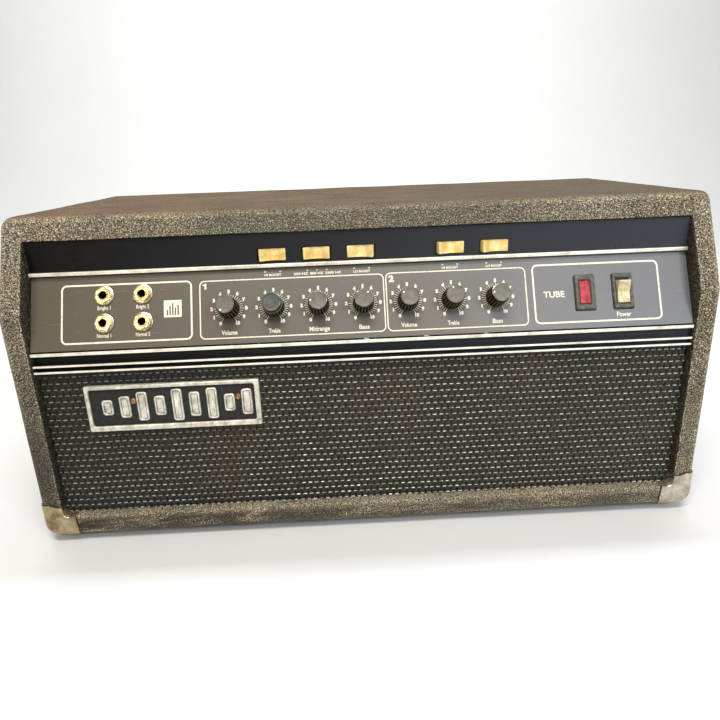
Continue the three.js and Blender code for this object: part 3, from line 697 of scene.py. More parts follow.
class Build:
    """Closed solids gathered into one mesh."""

    def __init__(self):
        self.verts, self.faces, self.index = [], [], []

    def add(self, part, at=None):
        verts, faces = part
        base = len(self.verts)
        if at is None:
            self.verts += [tuple(p) for p in verts]
        else:
            self.verts += [tuple(at @ Vector(p)) for p in verts]
        self.faces += [tuple(base + i for i in f) for f in faces]
        self.index += [0] * len(faces)
        return self

    def make(self, name, mats, body=ROOT, slot=None, replaces=(), sharp=32):
        mesh = bpy.data.meshes.new(name)
        mesh.from_pydata([(x * MM, y * MM, z * MM) for x, y, z in self.verts], [], self.faces)
        for m in mats if isinstance(mats, (list, tuple)) else [mats]:
            mesh.materials.append(m)
        mesh.polygons.foreach_set("material_index", self.index)
        bm = bmesh.new()
        bm.from_mesh(mesh)
        bmesh.ops.recalc_face_normals(bm, faces=bm.faces)
        bm.to_mesh(mesh)
        bm.free()
        mesh.polygons.foreach_set("use_smooth", [True] * len(mesh.polygons))
        mesh.set_sharp_from_angle(angle=math.radians(sharp))
        obj = bpy.data.objects.new(name, mesh)
        scene.collection.objects.link(obj)
        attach(obj, body)
        if replaces:
            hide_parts(*replaces)
        return obj


def solid(part, at, name, mat, slot, **more):
    """One closed solid as a piece of its own."""
    return Build().add(part, at).make(name, M[mat], slot=slot, **more)


def paint(obj, name, values):
    """Stores a number at each point, for the material to read."""
    obj.data.attributes.new(name, "FLOAT", "POINT").data.foreach_set("value", values)


def finish_node(node, mat, bevel=0.0):
    """A CAD node that stays gets its procedural material, and softened edges."""
    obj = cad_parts[node]
    obj.data.materials.clear()
    obj.data.materials.append(mat)
    if bevel:
        mod = obj.modifiers.new("bevel", "BEVEL")
        mod.width = bevel * MM
        mod.segments = 2
        mod.limit_method = "ANGLE"
        mod.angle_limit = math.radians(35)
        mod.harden_normals = True


# ---------------------------------------------------------------- cabinet
def lean(z):
    """How far back the front stands at this height, with a soft bend."""
    soft, d = 4.0, z - Z_BEND
    run = 0 if d <= -soft else d if d >= soft else (d + soft) ** 2 / (4 * soft)
    return run * math.tan(LEAN)


HEIGHTS = [40, 60, 80, 100, 120, 140, 160, 180, 195, 205, 210, 212.5, 214.5, 216.5, 218.5, 220.5, 223,
           228, 236, 246, 258]


def frame_ring(hw, z0, z1, r, rt):
    """Rounded rectangle of the cabinet's section, from the bottom middle round the right side to the top
    and back down the left. r rounds the lower corners and rt the upper ones."""
    def half(rt):
        side = [((hw - r) * i / 26, z0) for i in range(26)]
        side += arc(hw - r, z0 + r, r, -90, 0, 7)
        side += [(hw, z) for z in HEIGHTS]
        side += arc(hw - rt, z1 - rt, rt, 0, 90, 7)
        return side + [((hw - rt) * (1 - i / 26), z1) for i in range(1, 27)]
    return half(max(0.5, rt - 2.2)) + [(-x, z) for x, z in half(rt)[-2:0:-1]]


def cabinet():
    # each station: y, share of the lean, half width, bottom, top, two corner radii, wear and painted shade
    stations = []

    def outer(inset, y, share, wear_and_shade):
        stations.append((y, share, HALF_W - inset, Z_LOW + inset, Z_TOP - inset, CORNER_R - inset,
                         TOP_R - inset, wear_and_shade))

    def inner(out, y, share, wear_and_shade):
        stations.append((y, share, X_IN + out, Z_IN_LOW - out, Z_IN_TOP + out, 1.2 + out, 1.2 + out, wear_and_shade))

    for i in range(9):
        a = math.radians(90 * i / 8)
        outer(FRONT_R * (1 - math.sin(a)), Y_FRONT + FRONT_R * (1 - math.cos(a)), 1, math.sin(2 * a) ** 0.7)
    y0, y1 = Y_FRONT + FRONT_R, Y_BACK - BACK_R
    for i in range(1, 22):
        t = i / 22
        outer(0, y0 + (y1 - y0) * t, 1 - t, 0)
    for i in range(6):
        a = math.radians(90 - 18 * i)
        outer(BACK_R * (1 - math.sin(a)), Y_BACK - BACK_R * (1 - math.cos(a)), 0, abs(math.sin(2 * a)) ** 0.7)
    for i in range(4):
        a = math.radians(30 * i)
        inner(1.5 * (1 - math.sin(a)), Y_BACK - 1.5 * (1 - math.cos(a)), 0, 0.3)
    # painted shade: the opening's inner walls and the inner half of its lip get negative values, which paint
    # them dark
    y0, y1 = Y_FRONT + LIP_R, Y_BACK - 1.5
    for i in range(1, 14):
        t = 1 - i / 14
        inner(0, y0 + (y1 - y0) * t, 1 - t, -3.2)
    for i in range(7):
        a = math.radians(90 - 15 * i)
        inner(LIP_R * (1 - math.sin(a)), Y_FRONT + LIP_R * (1 - math.cos(a)), 1,
              0.9 * math.sin(2 * a) if i > 3 else -2.4)
    last, first = stations[-1], stations[0]
    for i in (1, 2, 3):
        stations.append(tuple(a + (b - a) * i / 4 for a, b in zip(last, first)))
    rings, wear_and_shade = [], []
    low_lip = Z_IN_LOW + 3
    for y, share, hw, z0, z1, r, rt, w in stations:
        ring = []
        for x, z in frame_ring(hw, z0, z1, r, rt):
            p = Vector((x, y + lean(z) * share, z))
            p += noise.noise_vector(p / 55) * 0.35 + noise.noise_vector(p / 17) * 0.12
            ring.append(tuple(p))
            near = min(abs(z - z0), abs(z - z1), 12) + min(abs(abs(x) - hw), 12)
            if hw > X_IN + 5:
                wear_and_shade.append(max(w, 0.8 * max(0, 1 - near / 9)))
            else:
                wear_and_shade.append(0.9 if z < low_lip and p.y < Y_FRONT + 25 else w)
        rings.append(ring)
    b = Build().add(loops(rings, True))
    obj = b.make("cabinet_covering", M["covering"], slot="covering", sharp=50,
                 replaces=("cabinet_top", "cabinet_bottom", "cabinet_left_side", "cabinet_right_side"))
    paint(obj, "wear_and_shade", wear_and_shade)


def corner_cover(sx, sy, name):
    """Pressed metal corner: a front plate that curls into the opening and wraps round side and bottom."""
    rf, face = (FRONT_R, Y_FRONT) if sy < 0 else (BACK_R, Y_BACK)
    legs_at = [32.6, 32.2, 31.8, 31.3, 30.8, 30.3, 29.7, 29.2, 28.6, 28, 27, 26, 24.5, 22, 19, 16, 12.5]
    reach = [(32.6, 8), (31.8, 9), (30.3, 11), (29.7, 14), (28.6, 20), (27, 25.5), (24.5, 28.5), (20, 29),
             (12.5, 29.5)]
    inside = [(6.6, 32.4), (8.5, 31.2), (11.5, 30.0), (15, 29.4), (18.0, 29.1), (18.4, 27)]
    inside += arc(24.9, 25.2, 6.4, 180, 250, 5) + [(24, 19.1), (26, 19.8), (28.6, 20.2), (29.0, 17),
                                                   (29.1, 11), (29.5, 8.6), (30.2, 6.8)]

    def look(table, w):
        for (w0, v0), (w1, v1) in zip(table, table[1:]):
            if w1 <= w <= w0:
                return v0 + (v1 - v0) * (w0 - w) / (w0 - w1)
        return table[-1][1]

    def run(pts):
        lengths = [0]
        for p, q in zip(pts, pts[1:]):
            lengths.append(lengths[-1] + math.dist(p[:2], q[:2]))
        return lengths

    def along(pts, t):
        lengths = run(pts)
        want = t * lengths[-1]
        for i in range(len(pts) - 1):
            if want <= lengths[i + 1] + 1e-9:
                k = (want - lengths[i]) / (lengths[i + 1] - lengths[i])
                return tuple(a + (b - a) * k for a, b in zip(pts[i], pts[i + 1]))
        return pts[-1]

    def skin(off, grow=0.0):
        """Grid of points: curl into the opening, front plate, front rim, then the outside."""
        legs = [w + grow * (w > 29) for w in legs_at]

        def path(inset):
            pts = [(inset, w, w) for w in legs]
            r = 12.5 - inset
            pts += [(x, y, 12.5) for x, y in arc(12.5, 12.5, r, 180, 270, 8)[1:-1]]
            return pts + [(w if w < 29 else 29 + (w - 29) * 0.45, inset, w) for w in legs[::-1]]
        rows = []
        base = path(rf)
        lengths = run(base)
        bend = [along(inside, v / lengths[-1]) for v in lengths]
        for e in (4, 3, 2, 1):
            row = []
            for a, b in bend:
                turned = min(1.0, max(0.0, min(a - 17.8, b - 18.3) / 1.3))
                shift = 0.2 * e + 0.75 * off * turned + grow * (1 - turned)
                row.append((a + shift, b + shift, -off + turned * (2.2 * e - 0.6)))
            rows.append(row)
        for k in range(7):
            t = k / 7
            rows.append([(ia + grow + (a - ia - grow) * t, ib + grow + (b - ib - grow) * t, -off)
                         for (a, b, w), (ia, ib) in zip(base, bend)])
        for k in range(7):
            a = math.radians(15 * k)
            inset = rf - (rf + off) * math.sin(a)
            rows.append([(p, q, rf - (rf + off) * math.cos(a)) for p, q, w in path(inset)])
        outer = path(-off)
        for k in range(1, 9):
            row = []
            for p, q, w in outer:
                row.append((p, q, rf + (look(reach, w - grow * (w > 29)) + grow - rf) * k / 8))
            rows.append(row)
        return rows

    def shell(top, under):
        rows, cols = len(top), len(top[0])
        verts = [(sx * (HALF_W - a), face - sy * c, Z_LOW + b) for grid in (top,
                under) for row in grid for a, b, c in row]
        faces = []
        half = rows * cols
        for r in range(rows - 1):
            for c in range(cols - 1):
                i = r * cols + c
                faces.append((i, i + 1, i + cols + 1, i + cols))
                faces.append((half + i, half + i + cols, half + i + cols + 1, half + i + 1))
        rim = grid_rim(rows, cols)
        for i, j in zip(rim, rim[1:] + rim[:1]):
            faces.append((i, half + i, half + j, j))
        return verts, faces

    # painted shadow: a dark rubber sheet a little larger than the cover, showing as a dark line round its
    # edge
    b = Build().add(shell(skin(0.5, 0.9), skin(0.05, 0.9)))
    b.make(name + "_edge_shadow_sheet", M["rubber"], slot="rubber", sharp=40)
    b = Build().add(shell(skin(1.3), skin(0.15)))
    nail = lathe([(0, 1.0), (0.9, 0.85), (1.6, 0.4), (1.9, 0.0), (1.9, -0.6), (0, -0.6)], 14)
    for a, c in ((20, 12), (13, 23)):
        b.add(nail, side_at(sx, sx * (HALF_W + 1.3), face - sy * c, Z_LOW + a))
        flip = Matrix(((1, 0, 0, sx * (HALF_W - a)), (0, -1, 0, face - sy * c), (0, 0, -1, Z_LOW - 1.3),
                       (0, 0, 0, 1)))
        b.add(nail, flip)
    obj = b.make(name + "_cover", M["corner"], slot="corner_metal", replaces=(name,), sharp=40)
    mod = obj.modifiers.new("rim", "BEVEL")
    mod.width, mod.segments, mod.limit_method, mod.angle_limit = 0.0005, 2, "ANGLE", math.radians(50)


def foot(name):
    c = centre(name)
    d = size(name).z
    prof = [(0, 2.4), (6.5, 2.4), (7.2, 1.4), (8.2, 0.3), (9.5, 0.0), (15.2, 0.0), (16.8, 0.5), (17.6, 1.6),
            (18.9, d - 0.6), (18.7, d), (0, d)]
    solid(lathe(prof, 40), shift(c.x, c.y, 0), name + "_rubber", "rubber", "rubber", replaces=(name,))
    head = [(0, 1.5), (2.2, 1.5), (3.6, 1.9), (4.2, 2.6), (4.2, 3.2), (0, 3.2)]
    solid(lathe(head, 20), shift(c.x, c.y, 0), name + "_screw", "screw", "screw_steel")


def handle(name, sx):
    """Moulded strap over a spring-steel core, with pressed end caps."""
    x0 = HALF_W + 0.3
    rings = []
    for i in range(61):
        y = -112 + 224 * i / 60
        t = min(1.0, abs(y) / 80)
        rise = min(13.0, 13 * (0.5 + 0.5 * math.cos(math.pi * t)) * 1.25)
        ring = []
        half = 13.6 - 1.2 * math.exp(-(y / 60) ** 4)
        for u, v in rounded(-half, half, 0.1, 4.9, 2.2, 4):
            crown = 0.0 if v < 2.5 else 0.5 * (1 - (u / half) ** 2) - (0.35 if abs(abs(u) - 9.2) < 1.2 else 0)
            ring.append((sx * (x0 + rise + v + crown), y + YS, HANDLE_Z + u))
        rings.append(ring)
    solid(loops(rings), None, name + "_strap", "rubber", "rubber", replaces=(name,), sharp=45)
    caps = Build()
    for s in (-1, 1):
        outline = rounded(-14, 14, -17, 17, 6, 5)
        caps.add(slab(outline, 3.2, 6.6, 1.2, 3), side_at(sx, sx * x0, s * 99 + YS, HANDLE_Z) @ spin(180))
        for k in (-1, 1):
            screw = lathe([(0, 1.1), (1.4, 1.3), (1.5, 2.0), (3.6, 1.7), (4.6, 0.9), (4.9, 0.0), (0, 0)], 20)
            caps.add(screw, side_at(sx, sx * (x0 + 6.5), s * 99 + YS + k * 9.5, HANDLE_Z))
    caps.make(name + "_caps", M["corner"], slot="corner_metal")


cabinet()
for sx, xn in ((-1, "left"), (1, "right")):
    for sy, yn in ((-1, "front"), (1, "rear")):
        corner_cover(sx, sy, f"corner_{yn}_{xn}")
        foot(f"foot_{yn}_{xn}")
    handle("handle_" + xn, sx)


# ---------------------------------------------------------------- grille cloth
def grille():
    lo, hi = (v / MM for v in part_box("grille_cloth"))
    cols, rows = 95, 24
    nx, nz = 6, 6
    px, pz = (hi.x - lo.x) / cols, (hi.z - lo.z) / rows
    wf = [0.0, 0.085, 0.2, 0.38, 0.66, 0.9]
    deep = [0.0, 0.75, 0.0, 0.85, 1.0, 0.75]
    across = [0.0, 0.85, 1.0, 1.05, 1.0, 0.85]
    smile = [0.6, 0.22, 0.03, 0.0, 0.03, 0.22]
    shine_u = [0.0, 0.25, 1.0, 1.0, 1.0, 0.25]
    # painted shade: these values darken the grooves between the threads
    gap_u = [1.0, 0.25, 0.0, 0.0, 0.0, 0.25]
    grid, shine, gap = [], [], []
    for j in range(rows * nz + 1):
        cell, k = divmod(j, nz)
        if j == rows * nz:
            cell, k = rows, 0
        z = lo.z + (cell + (wf[k] if j < rows * nz else 0)) * pz
        shift = 3 if (cell % 2) else 0
        row = []
        for i in range(cols * nx + 1):
            u = (i + shift) % nx
            x = lo.x + i * px / nx
            c = (i + shift) // nx
            lift = noise.noise(Vector((c * 7.31, cell * 3.77, 1.3)))
            sway = noise.noise_vector(Vector((x / 40, z / 40, 0.0)))
            h = deep[k] * across[u] * (0.85 + 0.45 * lift) * 1.15
            if k == 1:
                h = h if 0 < u else 0.05
            soft = noise.noise(Vector((x / 9, z / 9, 4.0))) * 0.12
            droop = smile[u] * (1.0 if k in (0, 1, 2) else 0.3)
            row.append((x + sway.x * 0.9 + lift * 0.25, lo.y + 1.05 - h - soft * 0.6,
                        z + sway.z * 0.5 + lift * 0.14 + droop))
            shine.append(shine_u[u] if k in (0, 1) else 0.0)
            gap.append(max(gap_u[u], 0.6 if k == 2 else 0.0))
        grid.append(row)
    w = cols * nx + 1
    hgt = rows * nz + 1
    verts = [p for row in grid for p in row]
    for j in (0, hgt - 1):
        for i in range(w):
            x, y, z = verts[j * w + i]
            verts[j * w + i] = (min(max(x, lo.x), hi.x), y, lo.z if j == 0 else hi.z)
    for j in range(hgt):
        for i in (0, w - 1):
            x, y, z = verts[j * w + i]
            verts[j * w + i] = (lo.x if i == 0 else hi.x, y, z)
    faces, index = [], []
    for j in range(hgt - 1):
        k = j % nz
        shift = 3 if ((j // nz) % 2) else 0
        for i in range(w - 1):
            a = j * w + i
            faces.append((a, a + 1, a + w + 1, a + w))
            u = (i + shift) % nx
            index.append(1 if k in (0, 1) and 1 <= u <= 4 else 0)
    rim = grid_rim(hgt, w)
    back = len(verts)
    for i in rim:
        x, y, z = verts[i]
        verts.append((x, hi.y, z))
        shine.append(0.0)
        gap.append(1.0)
    n = len(rim)
    for i in range(n):
        j = (i + 1) % n
        faces.append((rim[i], back + i, back + j, rim[j]))
        index.append(0)
    faces.append(tuple(range(back, back + n)))
    index.append(0)
    b = Build()
    b.verts, b.faces, b.index = verts, faces, index
    obj = b.make("grille_weave", [M["weave"], M["glint"]], slot="grille_cloth", replaces=("grille_cloth",),
                 sharp=80)
    paint(obj, "shine", shine)
    paint(obj, "gap", gap)


grille()
finish_node("grille_board", M["wood"])


# ---------------------------------------------------------------- badge
def placed(build, at):
    """The same solids moved by a matrix."""
    build.verts = [tuple(at @ Vector(p)) for p in build.verts]
    return build


def make_badge():
    c, s = centre("badge"), size("badge")
    w, h = s.x / 2, s.z / 2
    at = front_at(c.x, c.y + s.y / 2, c.z)
    edges = [(0, 0, 0, 0, 1.3, 0.0), (0, 0, 0, 0, 1.3, 3.4), (0.5, 0.5, 0.5, 0.5, 1.2, 4.0),
             (2.9, 4.0, 4.3, 2.8, 2.0, 4.0), (3.3, 4.4, 4.7, 3.2, 2.2, 3.5), (3.3, 4.4, 4.7, 3.2, 2.2, 0.0)]
    rings = [[(x, y, z) for x, y in rounded(-w + l, w - r, -h + d, h - u, rad, 4)] for l, r, d, u, rad,
             z in edges]
    b = Build().add(loops(rings, True))
    dark = Build().add(slab(rounded(-w + 2.5, w - 3.6, -h + 3.9, h - 2.4, 2.0, 4), 0.1, 1.7, 0.2))
    # level bars, each a raised frame round a dark groove; the screws stand between the outer ones
    screws, pitch = (-207, -115.4), 91.6 / 6
    for k, tall in enumerate((14, 20, 27, 18, 30, 23, 29, 16, 24)):
        x, half, top = screws[0] - c.x + pitch * (k - 1.5), 4.6, tall / 2
        steps = ((0, 0.9), (0, 3.0), (0.5, 3.5), (1.2, 3.5), (1.5, 3.1), (1.5, 0.9))
        spec = [(half - e, top - e, min(2.2, (half - e) * 0.6), z) for e, z in steps]
        b.add(loops(rounds(spec, 4, x, 0.8), True))
        b.add(slab(rounded(x - 2.6, x + 2.6, 2.8 - top, top - 1.2, 1.2, 3), 0.9, 2.9, 0.3))
    placed(b, at).make("badge_rim_and_bars", M["cast"], slot="badge_cast", replaces=("badge",))
    placed(dark, at).make("badge_inset", M["inset"], slot="badge_cast")
    b = Build()
    head = lathe([(0, 1.5), (0.6, 1.4), (1.1, 1.9), (2.1, 1.5), (2.8, 0.5), (2.8, 0), (0, 0)], 20)
    for x in screws:
        b.add(head, front_at(x, c.y + s.y / 2 - 1.7, 137.7))
    b.make("badge_screws", M["copper_screw"], slot="screw_steel")


make_badge()


# ---------------------------------------------------------------- trim strips and switch band
def bar_x(points, bevel=0.3):
    """A long bar of (y, z) section along x, with rounded long edges."""
    part = slab([(y, z) for y, z in points], -SPAN, SPAN, 0)
    verts = [(z, x, y) for x, y, z in part[0]]
    bm = bmesh.new()
    vs = [bm.verts.new(v) for v in verts]
    for f in part[1]:
        bm.faces.new([vs[i] for i in f])
    if bevel:
        edges = [e for e in bm.edges if abs(e.verts[0].co.x - e.verts[1].co.x) > 1]
        bmesh.ops.bevel(bm, geom=edges, offset=bevel, segments=3, affect="EDGES", profile=0.5,
                        clamp_overlap=True)
    return out_of(bm)


def trims():
    y = Y_FRONT + 2
    channel = [(y + 7.8, 167.5), (y + 1.0, 167.5), (y + 1.0, 169.0), (y + 5.6, 169.2), (y + 5.6, 173.0),
               (y + 1.0, 173.2), (y + 1.0, 174.5), (y + 5.6, 174.7), (y + 5.6, 182.9), (y + 1.0, 183.2),
               (y + 1.0, 185.4), (y + 3.6, 185.4), (y + 3.6, 184.2), (y + 7.8, 184.2)]
    solid(bar_x(channel, 0.15), None, "lower_trim_channel", "matt_black", "black_paint",
          replaces=("lower_trim",))
    b = Build()
    for z0, z1 in ((167.5, 169.2), (173.0, 174.7), (183.0, 185.7)):
        b.add(bar_x([(y, z0), (y + 1.3, z0), (y + 1.3, z1), (y, z1)], 0.35))
    b.make("lower_trim_strips", M["trim"], slot="trim_metal")
    lo, hi = (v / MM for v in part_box("upper_trim"))
    b = Build().add(bar_x([(lo.y, lo.z), (hi.y, lo.z), (hi.y, hi.z), (lo.y, hi.z)], 0.6))
    b.make("upper_trim_strip", M["trim"], slot="trim_metal", replaces=("upper_trim",))
    finish_node("switch_band", M["black"], bevel=0.3)


trims()


def tone_rockers():
    def section(half, proud):
        """Seen from above: two proud ends, a hollow between them, a narrow back."""
        return [(-half, 2.5), (-half, -proud - 0.6), (-half + 1.4, -proud - 1.2),
                (-half * 0.4, -proud * 0.42), (0, -proud * 0.2), (half * 0.4, -proud * 0.42),
                (half - 1.4, -proud - 1.2), (half, -proud - 0.6), (half, 2.5), (half * 0.45, 6.5),
                (-half * 0.45, 6.5)]
    face = Y_FRONT + 31
    for name, state, knob in zip(ROCKERS, ROCKER_STATE, ROCKER_KNOB):
        at = shift(knob_x(knob), face + 2.5, ROCKER_Z) @ spin(10 * state)
        solid(slab(section(11.5, 5.2), -5, 5, 0.7, 3, True), at, name + "_key", "cream", "cream_plastic",
              body=name, replaces=(name,), sharp=38)


tone_rockers()


# ---------------------------------------------------------------- control panel
finish_node("control_panel", M["panel"], bevel=0.25)


def knobs():
    def fluted(a, r, z):
        if not 1.6 < z < 18.4:
            return r
        depth = 0.12 * min(1.0, (z - 1.6) / 1.5, (18.4 - z) / 0.8)
        return r * (1 - depth * (0.5 + 0.5 * math.cos(20 * a)) ** 2)

    body = [(0, 0.5), (8.3, 0.5), (8.8, 0.8), (8.9, 1.5), (8.9, 3.2), (8.9, 7), (8.8, 10.5), (8.6, 14),
            (8.3, 17.2), (8.1, 18.1), (7.9, 18.7), (7.6, 18.9), (7.5, 18.2), (0, 18.2)]
    cap = [(0, 19.85), (3.0, 19.85), (6.6, 19.9), (7.1, 20.0), (7.4, 19.8), (7.45, 19.4), (7.45, 18.0),
           (0, 18.0)]
    ringed = [(0, 19.5), (3.2, 19.5), (3.5, 19.9), (3.9, 19.95), (4.2, 19.5), (6.2, 19.5), (6.6, 19.9),
              (7.1, 20.0), (7.35, 19.6), (7.4, 19.2), (7.4, 18.0), (0, 18.0)]
    edge = [(7.35, 19.4), (7.45, 19.85), (7.7, 19.75), (7.85, 19.4), (7.8, 18.8), (7.4, 18.7)]
    skirt = [(8.3, 13.6), (8.75, 13.8), (8.9, 14.2), (8.7, 14.6), (8.2, 14.7)]
    dot = [(0, 0.4), (0.4, 0.4), (0.7, 0.25), (0.8, 0), (0, 0)]
    shaft = [(0, 2), (2.9, 2), (3.0, 1.6), (3.0, -10.8), (0, -10.8)]
    for i, name in enumerate(KNOBS):
        at = panel_at(knob_x(i), KNOB_V) @ spin(-KNOB_AIM[i])
        turned = lathe(body, 120, fluted)
        grip = solid(turned, at, name + "_grip", "knob", "knob_black", body=name, replaces=(name,), sharp=40)
        rib = [max(0.0, -math.cos(20 * math.atan2(y, x))) ** 2
               if 1.7 < z < 18 and math.hypot(x, y) > 6 else 0.0 for x, y, z in turned[0]]
        paint(grip, "rib", rib)
        plain = i != 1
        rim = "chipped" if i in (2, 3, 6) else "cap" if plain else "cap_edge"
        parts = [("_cap", cap if plain else ringed, 48, at, "cap" if plain else "cap_dark"),
                 ("_edge", edge, 48, at, rim)]
        if not plain:
            parts.append(("_ring", skirt, 48, at, "cap_edge"))
        parts.append(("_dot", dot, 16, at @ shift(0, 6.0, 19.8 if plain else 19.4),
                      "dot" if plain else "cap_dark"))
        for end, profile, n, where, mat in parts:
            solid(lathe(profile, n), where, name + end, mat, "knob_cap", body=name)
        solid(lathe(shaft, 18), at, name + "_shaft", "steel", "chassis_steel", body=name)


knobs()
finish_node("control_board", M["board"])


def jacks():
    washer = [(4.9, 0.3), (8.3, 0.3), (8.65, 0.5), (8.55, 0.95), (8.2, 1.1), (4.9, 1.1)]
    bush = [(3.35, -18), (3.35, 3.2), (3.6, 3.55), (4.4, 3.6), (4.7, 3.3), (4.7, -5), (4.4, -5.2), (4.4, -18)]
    flats = []
    for k in range(48):
        a = 2 * math.pi * k / 48
        flats.append((a, 6.2 / math.cos((a + math.pi / 6) % (math.pi / 3) - math.pi / 6)))

    def hexagon(cut, z):
        return [(*polar(min(r, 7.0) * cut, a), z) for a, r in flats]

    bore = [[(*polar(4.72, a), z) for a, r in flats] for z in (3.1, 1.1)]
    nut = loops([hexagon(1, 1.1), hexagon(1, 2.75), hexagon(0.95, 3.1), *bore], True)
    for i in range(4):
        name = f"input_jack_{i + 1}"
        x = centre(name).x
        v = (39.4, 15.2)[i // 2]
        at = panel_at(x, v)
        b = Build().add(lathe(washer, 40), at).add(lathe(bush, 32), at)
        b.add(nut, at @ spin(17 * i))
        b.make(name + "_nut", M["nickel"], slot="nickel", replaces=(name,))
        body = [(8, 8.5, 1.2, -25), (8, 8.5, 1.2, -2.3), (4.5, 4.5, 4.3, -2.3), (4.5, 4.5, 4.3, -25)]
        b = Build().add(loops(rounds(body, 3), True), at)
        b.add(slab(rounded(-5.5, 5.5, -5.5, 5.5, 2, 3), -25.5, -22, 0.3), at)
        b.make(name + "_body", M["black_plastic"], slot="black_plastic")
        hole = [(0, -17), (3.3, -17), (3.3, -3.4), (3.34, -1.0), (3.34, -17.5), (0, -17.5)]
        solid(lathe(hole, 20), at, name + "_bore", "matt_black", "black_plastic")


jacks()


def bezel_at(name, x, wide, tall, inner_w, inner_h, deep):
    at = panel_at(x, LAMP_V)
    w, h, a, c = wide / 2, tall / 2, inner_w / 2, inner_h / 2
    spec = [(w - 1.7, h - 1.7, 0.6, -deep), (w - 1.7, h - 1.7, 0.6, 0.3), (w, h, 1.3, 0.3), (w, h, 1.3, 1.1),
            (w - 0.7, h - 0.7, 1.2, 1.95), (a + 0.9, c + 0.9, 0.9, 1.95), (a, c, 0.7, 1.3),
            (a, c, 0.7, -deep)]
    b = Build().add(loops(rounds(spec), True), at)
    b.make(name + "_frame", M["bezel"], slot="black_plastic", replaces=(name,))
    # painted shadow: a thin black sheet, wider to the left and below, stands for the bezel's shadow on the
    # panel
    painted_shadow = slab(rounded(-w - 0.55, w + 0.15, -h - 1.1, h, 1.3, 4), 0.02, 0.28, 0.1)
    solid(painted_shadow, at, name + "_gasket", "rubber", "rubber")


def lamp_and_switch():
    bezel_at("pilot_bezel", LAMP_X, 17.8, 31.0, 9.8, 21.2, 14)
    bezel_at("power_bezel", SWITCH_X, 17.8, 31.0, 11.4, 22.6, 16)
    at = panel_at(LAMP_X, LAMP_V)
    dome = [(4.6, 10.2, 0.4, -8), (4.6, 10.2, 0.4, 0.6), (4.4, 10.0, 0.8, 1.15), (3.9, 9.5, 0.9, 1.45),
            (2.4, 8.0, 0.9, 1.6), (1.0, 5.5, 0.8, 1.66)]
    solid(loops(rounds(dome)), at, "pilot_lens_dome", "lens", "red_lens", replaces=("pilot_lens",), sharp=30)
    # flat lower half, upper half rising to a nose; (up, out) across the pivot, width along x
    section = [(-4.5, -6.4), (4.5, -6.4), (9.8, -2.5), (9.8, 7.2), (9.1, 8.4), (8.3, 8.5), (0, 4.65),
               (-9.1, 6.6), (-9.8, 6.1), (-9.8, -2.5)]
    key = slab(section, -5.25, 5.25, 0.45, 3, True)
    turn = Matrix(((0, 0, 1, 0), (1, 0, 0, 0), (0, 1, 0, 0), (0, 0, 0, 1)))
    at = panel_at(SWITCH_X, LAMP_V, -2.2) @ spin(SWITCH_TILT, "X")
    solid(key, at @ turn, "power_rocker_key", "ivory", "cream_plastic", body="power_rocker",
          replaces=("power_rocker",), sharp=38)


lamp_and_switch()


